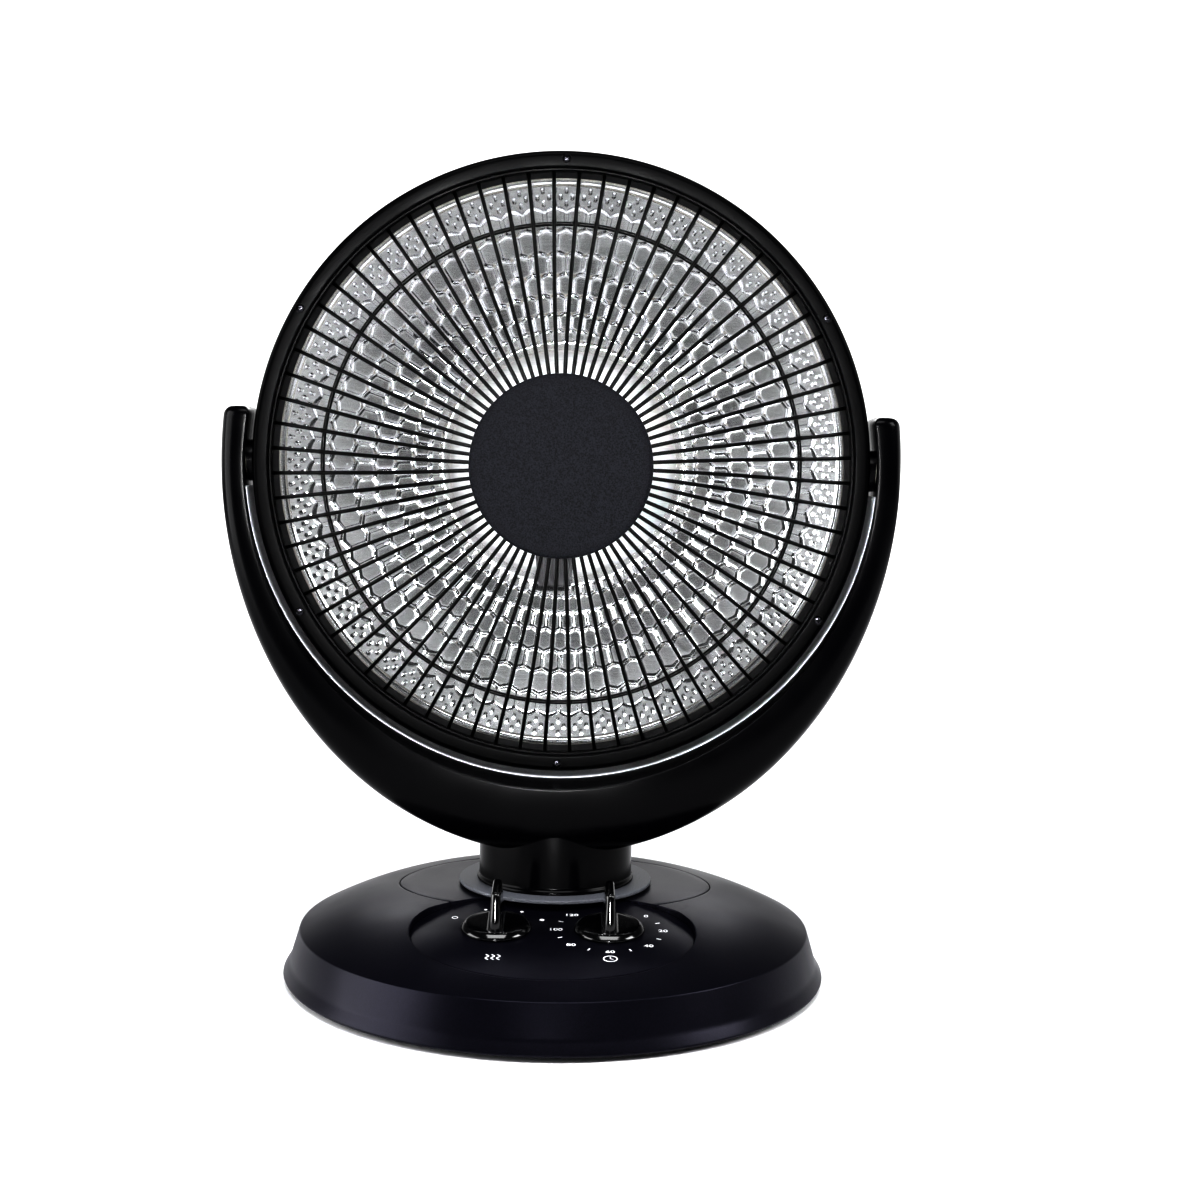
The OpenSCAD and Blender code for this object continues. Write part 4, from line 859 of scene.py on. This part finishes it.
def cell_height(r, a):
    """Height of the cells: flat windows whose edges fall to a groove, each window tilted a little."""
    row = np.interp(r, ROW_EDGES, np.arange(len(ROW_EDGES), dtype=float))
    u, v = a * CELLS / (2 * np.pi), row * ROW_STEP
    best = np.full(np.broadcast(u, v).shape, FAR)
    second, tilt = best.copy(), 0 * best
    for step in (-1, 0, 1):
        k = np.floor(row) + step
        shift = 0.5 * (k % 2)
        for side in (0, 1):
            centre = np.floor(u - shift) + side + shift
            across, along = u - centre, v - (k + 0.5) * ROW_STEP
            far = np.where(k > LAST_ROW, FAR, across**2 + along**2)
            second = np.minimum(second, np.maximum(best, far))
            lean = np.sin(12.9 * centre + 4.1 * k) * across + np.sin(7.3 * centre + 9.7 * k) * along
            tilt = np.where(far < best, lean, tilt)
            best = np.minimum(best, far)
    wall = np.minimum((second - best) / 2, (arch_row(u) - row) * ROW_STEP)
    press = smooth(wall / 0.13)
    inside = smooth((r - 66) / 12) * (wall > -1e-6)
    return inside * (0.65 * press - 0.45 + 0.16 * press * tilt)


def dimple_height(r, a):
    """Three staggered rows of round dimples, and a low round bead near the dish's edge."""
    total = 0.5 * smooth(1 - np.abs(r - 162.0) / 0.85) + 0 * a
    for row_r, offset in ((158.6, 0.0), (155.3, 0.5), (152.0, 0.0)):
        turn = a * DIMPLES / (2 * np.pi) + offset
        across = (turn - np.round(turn)) * 2 * np.pi * row_r / DIMPLES
        total = total + 0.6 * smooth(1 - np.hypot(across, r - row_r) / 1.6)
    return total


def dish_row(r, a):
    """One row of embossed points: radius r, which may differ from ray to ray, at the angles a."""
    r = r + 0 * a
    return polar(r, a, dish_z(r) + cell_height(r, a) + dimple_height(r, a))


def strip(start_a, columns_a, start_b, columns_b):
    """Faces between a ring of points and the next, with three-sided ones where the columns halve."""
    j = np.arange(columns_b)
    j2 = (j + 1) % columns_b
    if columns_a == columns_b:
        return [np.stack([start_a + j, start_b + j, start_b + j2, start_a + j2], -1)]
    k = 2 * j
    k1, k2 = k + 1, (k + 2) % columns_a
    return [np.stack([start_a + k, start_b + j, start_b + j2, start_a + k1], -1),
            np.stack([start_a + k1, start_b + j2, start_a + k2], -1)]


print(f"dish {DISH_DEEP:.0f} mm deep, {LAST_ROW + 1} rows of {CELLS} cells, 3 of {DIMPLES} dimples")

# %% Reflector mesh
FLANGE_Z = guard_z(SPOKE_END) - 1.3 * SPOKE_R
SLOPE_LOW, SLOPE_TOP = (163.6, -0.4), (167.4, FLANGE_Z)
RIM_T, BACK_T = 0.8, 1.6
flange_low = FLANGE_Z - RIM_T
fine, middle_a, coarse, few = [rays_of(n) for n in (1440, 720, 360, 180)]
in_cell = np.array([0.94, 0.87, 0.79, 0.65, 0.5, 0.35, 0.21, 0.13, 0.06, 0.0])
rows = [polar(r, fine, z) for r, z in ((163.9, -1.4), (168.0, flange_low), (DISH_FLANGE_R, flange_low),
                                       (DISH_FLANGE_R, FLANGE_Z), SLOPE_TOP, SLOPE_LOW, (163.1, -2.9))]
rows += [dish_row(r, fine) for r in (162.9, 162.5, 162.0, 161.5, 161.0)]
arches = cell_radius(LAST_ROW + 1.0, fine)
rows += [dish_row(mix(arches, 160.6, t), fine) for t in np.append(np.linspace(1, 0.06, 13), 0.02)]
rows += [dish_row(cell_radius(k + p, middle_a), middle_a) for k in range(LAST_ROW, 1, -1)
         for p in (in_cell if k < LAST_ROW else np.append(1.0, in_cell))]
rows += [dish_row(cell_radius(k + p, coarse), coarse) for k in (1, 0)
         for p in in_cell[[0, 2, 3, 4, 5, 6, 8, 9]]]
rows += [dish_row(r, coarse) for r in np.linspace(66.5, 40, 8)]
rows += [dish_row(r, few) for r in np.linspace(37, 14, 8)]
rows += [polar(r, few, dish_z(r) - BACK_T) for r in (13.2, 40, 80, 120, 150, 163.3)]
faces, start = [], 0
for row, following in zip(rows, rows[1:]):
    faces += strip(start, len(row), start + len(row), len(following))
    start += len(row)

# The last ring, on the dish's back, has one point for each eight of the first ring, at its rim.
k = np.arange(len(few))
near, far = start + k, start + (k + 1) % len(few)
for step in range(8):
    rim = 8 * k + step
    faces.append(np.stack([near if step < 4 else far, rim, (rim + 1) % len(fine)], -1))
faces.append(np.stack([near, 8 * k + 4, far], -1))
dish_mesh = fill_mesh("dish", to_head(np.concatenate(rows)), faces)
finish_piece("embossed_dish", dish_mesh, "head", bright_sheet, "reflector", 50)

# %% [markdown]
# ## Painted shade band
# A dull black band on the dish's rim under the guard is painted shade, the shadow of the ring's lip.
# It is one thin profile that follows the rim's slope, turned round the head's axis.

# %% Painted shade band under the guard's rim
SHADE_BAND_T = 0.25
shade_band_in = mix(np.array(SLOPE_LOW), np.array(SLOPE_TOP), 0.24)
shade_band_line = [shade_band_in, SLOPE_TOP, (168.3, FLANGE_Z), (168.3, FLANGE_Z + SHADE_BAND_T),
             (167.3, FLANGE_Z + SHADE_BAND_T), shade_band_in + np.array([-0.17, 0.18])]
# The black band is painted shade where the ring's lip shadows the dish.
turned_piece("dish_painted_shade_band", shade_band_line, 360, to_head, "head", painted_shade_black)

# %% [markdown]
# ## Heating element
# A resistance wire is wound round a tapered ceramic core that screws into a ceramic socket, and a
# dark steel holder clamps the socket. The winding is a helix on a cone: its angle grows evenly along
# the core while its radius follows the taper.

# %% Core, coil and socket
TURNS, WIRE_R, BORE_R = 22, 0.8, 4
core_low, core_high = depth_of("element_core")
CORE_L = core_high - core_low
groove_a = rays_of(96)
h = np.linspace(0, 1, 220)[:, None]
thread = 0.35 * np.cos(2 * np.pi * TURNS * (h - 0.08) / 0.84 - groove_a)
core_r = mix(14.6, 10.7, h) + np.where((h > 0.07) & (h < 0.93), thread, 0)
core = np.concatenate([polar(core_r, groove_a, core_low + CORE_L * h),
                       polar(BORE_R, groove_a, np.array([[core_high], [core_low]]))])
make_piece("ceramic_core", [(to_head(core), "both")], "head", porcelain, "element_core")

t = np.linspace(0, 1, TURNS * 40)[:, None]
height = 5.8 + t * (CORE_L - 11.6)
coil_r = mix(15, 11, height / CORE_L) + 1.2 + WIRE_R * np.cos(rays_of(8))
coil = polar(coil_r, 2 * np.pi * TURNS * t, core_low + height + WIRE_R * np.sin(rays_of(8)))
make_piece("wound_wire", [(to_head(capped(coil)), "columns")], "head", oxide_wire,
           "element_coil", 60)

COLLAR_R, COLLAR_H, SOCKET_R = 19, 3, 13.7
socket_low, socket_high = depth_of("element_socket")
collar_top = socket_low + COLLAR_H
socket_line = rounded([(BORE_R, socket_low), (COLLAR_R, socket_low), (COLLAR_R, collar_top),
                       (SOCKET_R, collar_top), (SOCKET_R, socket_high), (BORE_R, socket_high)],
                      [0.3, 0.8, 0.8, 1.2, 1.2, 0.5], 5)
turned_piece("core_socket", socket_line, 96, to_head, "head", porcelain, "element_socket")

# %% [markdown]
# ## Rear housing
# The bowl behind the dish is one moulding with two rings of cooling slots. Its grid lines follow the
# slots' long sides, so leaving out some faces makes straight slots, and a Solidify modifier then
# gives the wall its real thickness, also inside each slot.

# %% Vented bowl
HOUSE_REAR, HOUSE_R, HOUSE_WALL = depth_of("rear_housing")[0], 177, 2.4
COLUMNS, SLOTS = 48, ((70.0, 94.0, 0), (108.0, 132.0, 1))
r = np.concatenate([[177.0, 176.99, 176.95, 176.8, 176.3, 175.2, 173.6], np.linspace(172, 136, 12),
                    np.linspace(132, 108, 9), np.linspace(105, 97, 3), np.linspace(94, 70, 9),
                    np.linspace(66, 16, 12)])
share = (r / HOUSE_R) ** (1 / 0.8)
height = RING_REAR - 0.1 - (RING_REAR - HOUSE_REAR) * (1 - share**2) ** 0.45
half_slot = 2.0 / np.clip(r, 66, 140)
step = 2 * np.pi / COLUMNS
offsets = np.stack([-half_slot, half_slot, mix(half_slot, step - half_slot, 1 / 3),
                    mix(half_slot, step - half_slot, 2 / 3)], 1)
a = (np.arange(COLUMNS)[None, :, None] * step + offsets[:, None, :]).reshape(len(r), -1)
bowl = polar(r[:, None], a, height[:, None])
faces = grid_faces(len(r), a.shape[1], "columns").reshape(len(r) - 1, a.shape[1], 4)
keep = np.ones(faces.shape[:2], bool)
middle = (r[1:] + r[:-1]) / 2
for low, high, odd in SLOTS:
    keep[np.ix_((middle > low) & (middle < high), np.arange(COLUMNS)[odd::2] * 4)] = False
house_mesh = fill_mesh("house", to_head(bowl).reshape(-1, 3), [faces[keep]])
vented_bowl = finish_piece("vented_bowl", house_mesh, "head", housing_abs,
                           "rear_housing", 40)
thicken = vented_bowl.modifiers.new("wall", "SOLIDIFY")
thicken.thickness, thicken.offset = HOUSE_WALL * MM, -1

# %% Terminal cover
COVER_R, COVER_WALL, COVER_H = 44, 2.2, 12
cover_low = depth_of("terminal_cover")[0]
cover_top, cover_in = cover_low + COVER_H, cover_low + COVER_WALL
cover_line = rounded([(0, cover_low), (39, cover_low), (42.5, cover_low + 1.6),
                      (COVER_R, cover_low + 9), (COVER_R, cover_top), (37, cover_top),
                      (37, cover_in), (0, cover_in)],
                     [0, 3, 2, 2, 0.5, 0.5, 0.5, 0], 6, False)
back_cover = turned_piece("back_cover", cover_line, 144, to_head, "head", housing_abs,
                          "terminal_cover", "columns")

# %% [markdown]
# ## Knobs
# A knob is a round skirt with a thin upright grip. It is one closed grid: rows of a circle that
# shrinks, then rows of a shape with two round ends that stand apart, whose width and spread change
# with height. Where the grip leaves the skirt a few rows make a hollow curve.

# %% Knob grid
KNOB_Y, KNOB_LIFT = 7.0, 0.5


def knob(x):
    """Rows of two half circles of radius w, moved apart by 2c, at height z above the panel."""
    w = [0, 5.4, 19.1, 19.5, 19.5, 19.2, 17.6, 16.9, 16.2, 5.0, 4.4, 4.05, 3.9, 3.75, 3.45, 3.15, 2.9,
         2.7, 2.55, 2.4, 1.9, 1.1, 0]
    c = [0] * 9 + [12.2, 12.7, 13.0, 13.2, 13.2, 12.6, 11.8, 11, 10.3, 9.8, 9.5, 9.3, 9.2, 9.1]
    z = [0, 0, 0, 0.35, 1.0, 1.5, 3.1, 3.5, 3.7, 3.8, 4.1, 4.6, 5.3, 6.5, 10, 13.5, 17, 20, 22.1, 23.2,
         24.05, 24.4, 24.5]
    w, c, z = [np.array(v, float)[:, None] for v in (w, c, z)]
    a = np.linspace(0, np.pi, 25)
    px = np.concatenate([w * np.cos(a), -w * np.cos(a)], 1)
    py = np.concatenate([w * np.sin(a) + c, -w * np.sin(a) - c], 1)
    return on_panel(np.stack([x + px, KNOB_Y + py, KNOB_LIFT + z + 0 * px], -1))


for name, x, body, node in (("heat_grip", -KNOB_X, "heat_dial", "heat_knob"),
                            ("timer_grip", KNOB_X, "timer_dial", "timer_knob")):
    make_piece(name, [(knob(x), "columns")], body, knob_abs, node, 40)

# %% [markdown]
# ## Dial marks
# The marks are pad printed in white ink: minutes round the timer, and plain signs for heat and time
# in place of words. Ink has a thickness, so each mark is a very low solid on the panel's face.

# %% Ink strokes
INK_T, SIGN_Y, DOT_R = 0.1, -31.5, 28


def stroke(path, width, close=False):
    """A flat ribbon along a path on the panel: four rails beside and above the line."""
    path = np.asarray(path, float)
    along = np.roll(path, -1, 0) - np.roll(path, 1, 0) if close else np.gradient(path, axis=0)
    along /= np.linalg.norm(along, axis=1, keepdims=True)
    side = np.stack([-along[:, 1], along[:, 0]], -1) * width / 2
    rails = [(path + side, -0.02), (path + side, INK_T), (path - side, INK_T), (path - side, -0.02)]
    grid = np.stack([np.concatenate([p, np.full((len(p), 1), z)], 1) for p, z in rails], 1)
    return on_panel(grid if close else capped(grid)), ("both" if close else "columns")


def around(degrees, r, x=KNOB_X):
    """A point at a bearing round a dial, counted from the right."""
    a = math.radians(degrees)
    return np.array([x + r * math.cos(a), KNOB_Y + r * math.sin(a)])


circle = polar(1.0, rays_of(40), 0)[:, :2]
clock = np.array([KNOB_X, SIGN_Y])
wave_y = np.linspace(-3.4, 3.4, 24)
wave_x = 0.8 * np.sin(wave_y * 2 * np.pi / 5.2) - KNOB_X
ticks = [stroke([around(d, 27.6), around(d, 30.4)], 0.9) for d in range(22, -236, -45)]
ticks += [stroke(clock + 3.6 * circle, 0.8, True),
          stroke(clock + np.array([(0, 2.4), (0, 0), (1.6, -0.9)]), 0.7)]
ticks += [stroke(np.stack([wave_x + shift, SIGN_Y + wave_y], -1), 0.85) for shift in (-3, 0, 3)]
ticks += [stroke(around(d, DOT_R, -KNOB_X) + r * circle, width, True)
          for d, r, width in ((148, 1.5, 0.7), (105, 0.525, 0.8), (62, 0.525, 1.1), (28, 0.75, 1.5))]
make_piece("dial_ticks", ticks, "base", pad_print)


# %% Minutes
def printed_number(text, at, size):
    """A number as a mesh on the panel, its middle at a point, standing upright in the panel's axes."""
    curve = bpy.data.curves.new("number", "FONT")
    curve.body, curve.size, curve.align_x, curve.align_y = text, size * MM, "CENTER", "CENTER"
    curve.extrude, curve.offset = INK_T / 2 * MM, 0.09 * MM
    holder = put("number", curve)
    bpy.context.view_layer.update()
    mesh = bpy.data.meshes.new_from_object(holder)
    flat = np.empty(3 * len(mesh.vertices), np.float32)
    mesh.vertices.foreach_get("co", flat)
    wide = flat.reshape(-1, 3) / MM * np.array([1.15, 1, 1])
    placed = on_panel(wide + np.array([at[0], at[1], INK_T / 2])) * MM
    mesh.vertices.foreach_set("co", placed.astype(np.float32).ravel())
    bpy.data.objects.remove(holder)
    finish_piece(f"minutes_{text}", mesh, "base", pad_print)


for index, minutes in enumerate(range(0, 140, 20)):
    printed_number(str(minutes), around(45 - 45 * index, 29.5), 4.6)

# %% [markdown]
# ## Holes and screws
# Recesses for screws are cut by a Boolean modifier with short round pins, and the result is kept as
# the piece's own mesh. A screw's head is a low dome, and its cross recess is a dip in that dome
# wherever a point lies near one of two crossing lines.

# %% Cut round holes
def cut_holes(piece, pins):
    """Take round pins, given as grids of points, out of a piece, and keep the result as its mesh."""
    mesh = join_grids("pins", [(pin, "columns") for pin in pins])
    clean(mesh)
    cutter = put("pins", mesh)
    cut = piece.modifiers.new("holes", "BOOLEAN")
    cut.operation, cut.object, cut.solver = "DIFFERENCE", cutter, "EXACT"
    bpy.context.view_layer.update()
    solid = bpy.data.meshes.new_from_object(piece.evaluated_get(bpy.context.evaluated_depsgraph_get()))
    piece.modifiers.remove(cut)
    piece.data = solid
    solid.set_sharp_from_angle(angle=math.radians(35))
    bpy.data.objects.remove(cutter)
    print(f"{piece.name}: {len(pins)} holes, {len(solid.polygons)} faces")


def pin(radius, low, high):
    """A closed round pin about the upright axis from one height to another."""
    return revolve([(0, low), (radius, low), (radius, high), (0, high)], 32)


def at_bearings(shape, r, degrees):
    """Copies of a shape at radius r and at each bearing."""
    return [shape + polar(r, math.radians(d), 0) for d in degrees]


RING_SCREW_R, COVER_SCREW_R = (CHANNEL_R + SIDE_IN) / 2, 40.2
RING_HOLE_R, COVER_HOLE_R, YOKE_HOLE_R, SHAFT_HOLE_R, GLAND_HOLE_R = 2.7, 3.0, 3.8, 4.7, 9.3
YOKE_SEAT = 12
SIX, FOUR = range(30, 390, 60), range(45, 405, 90)
ring_pin = pin(RING_HOLE_R, RING_FRONT - 1.6, RING_FRONT + 6)
cover_pin = pin(COVER_HOLE_R, cover_low - 2, cover_low + 2.5)
cut_holes(front_ring, [to_head(p) for p in at_bearings(ring_pin, RING_SCREW_R, SIX)])
cut_holes(back_cover, [to_head(p) for p in at_bearings(cover_pin, COVER_SCREW_R, FOUR)])
cut_holes(dial_panel, [on_panel(pin(SHAFT_HOLE_R, -6, 4) + np.array([x, KNOB_Y, 0]))
                       for x in (-KNOB_X, KNOB_X)])

screw_spots = []
for a in np.radians([61, 74]):
    middle_r = (YOKE_IN + bowl_radius(a)) / 2
    screw_spots += [(side * middle_r * np.cos(a), PIVOT_Z - middle_r * np.sin(a)) for side in (-1, 1)]
cut_holes(rear_half, [to_rear(pin(YOKE_HOLE_R, YOKE_SEAT, 80), x, z=z) for x, z in screw_spots])
gland_z = (box_mm("cord_gland")[0][2] + box_mm("cord_gland")[1][2]) / 2
cut_holes(base_cover, [to_rear(pin(GLAND_HOLE_R, 100, 200), y=0, z=gland_z)])


# %% Screws
def screw_head(r, t):
    """A low dome less a dip along two crossed lines, and then the head's side and its flat base."""
    rr = np.linspace(0, 0.93 * r, 15)[:, None]
    x, y = rr * np.cos(rays_of(48)), rr * np.sin(rays_of(48))
    near = np.minimum(np.hypot(x, np.maximum(np.abs(y) - 0.5 * r, 0) * 2),
                      np.hypot(y, np.maximum(np.abs(x) - 0.5 * r, 0) * 2))
    dip = smooth(1.4 - near / (0.13 * r))
    dome = np.stack([x, y, t * (1 - 0.22 * (rr / r) ** 2) - 0.55 * t * dip], -1)
    return np.concatenate([dome, revolve([(r, 0.6 * t), (r, 0), (0, 0)], 48)])


front_head = screw_head(2.35, 1.5) + np.array([0, 0, RING_FRONT - 1.55])
rear_head = screw_head(2.7, 1.6) * np.array([1, 1, -1]) + np.array([0, 0, cover_low + 2.45])
make_piece("ring_screws", [(to_head(p), "columns") for p in at_bearings(front_head, RING_SCREW_R, SIX)],
           "head", black_nickel, "head_screws")
make_piece("cover_heads",
           [(to_head(p), "columns") for p in at_bearings(rear_head, COVER_SCREW_R, FOUR)],
           "head", zinc_steel, "cover_screws")
make_piece("yoke_heads", [(to_rear(screw_head(3.2, 2.2), x, NECK_Y + YOKE_SEAT + 0.05, z), "columns")
                          for x, z in screw_spots], "yoke", black_oxide, "yoke_screws")

# %% [markdown]
# ## The frame's own pieces
# The small parts inside the base and behind the dish have the right shape already. They keep their
# meshes and get the finishes of the real materials, by the slot that the record gives each of them.

# %% Finishes for the frame's pieces
finishes = {"base_plastic": base_abs, "panel_plastic": panel_abs, "island_plastic": base_abs,
            "gloss_black": yoke_abs, "knob_plastic": knob_abs, "black_paint": wire_enamel,
            "housing_plastic": housing_abs, "hub_plastic": hub_abs, "grey_disc": disc_abs,
            "bright_aluminium": bright_sheet, "plated_steel": zinc_steel, "dark_steel": black_oxide,
            "ballast_steel": mill_steel, "rubber_black": foot_rubber, "nylon_white": nylon,
            "signal_red": signal_abs, "porcelain": porcelain, "heating_wire": oxide_wire,
            "switch_plastic": case_resin, "timer_case": zinc_case}
slot_of = {part["node"]: part["material_slot"] for part in frame["record"]["subparts"]}
for name, node in frame["nodes"].items():
    for holder in node.material_slots:
        holder.material = finishes[slot_of[name]]
print(len(frame["nodes"]), "nodes finished")
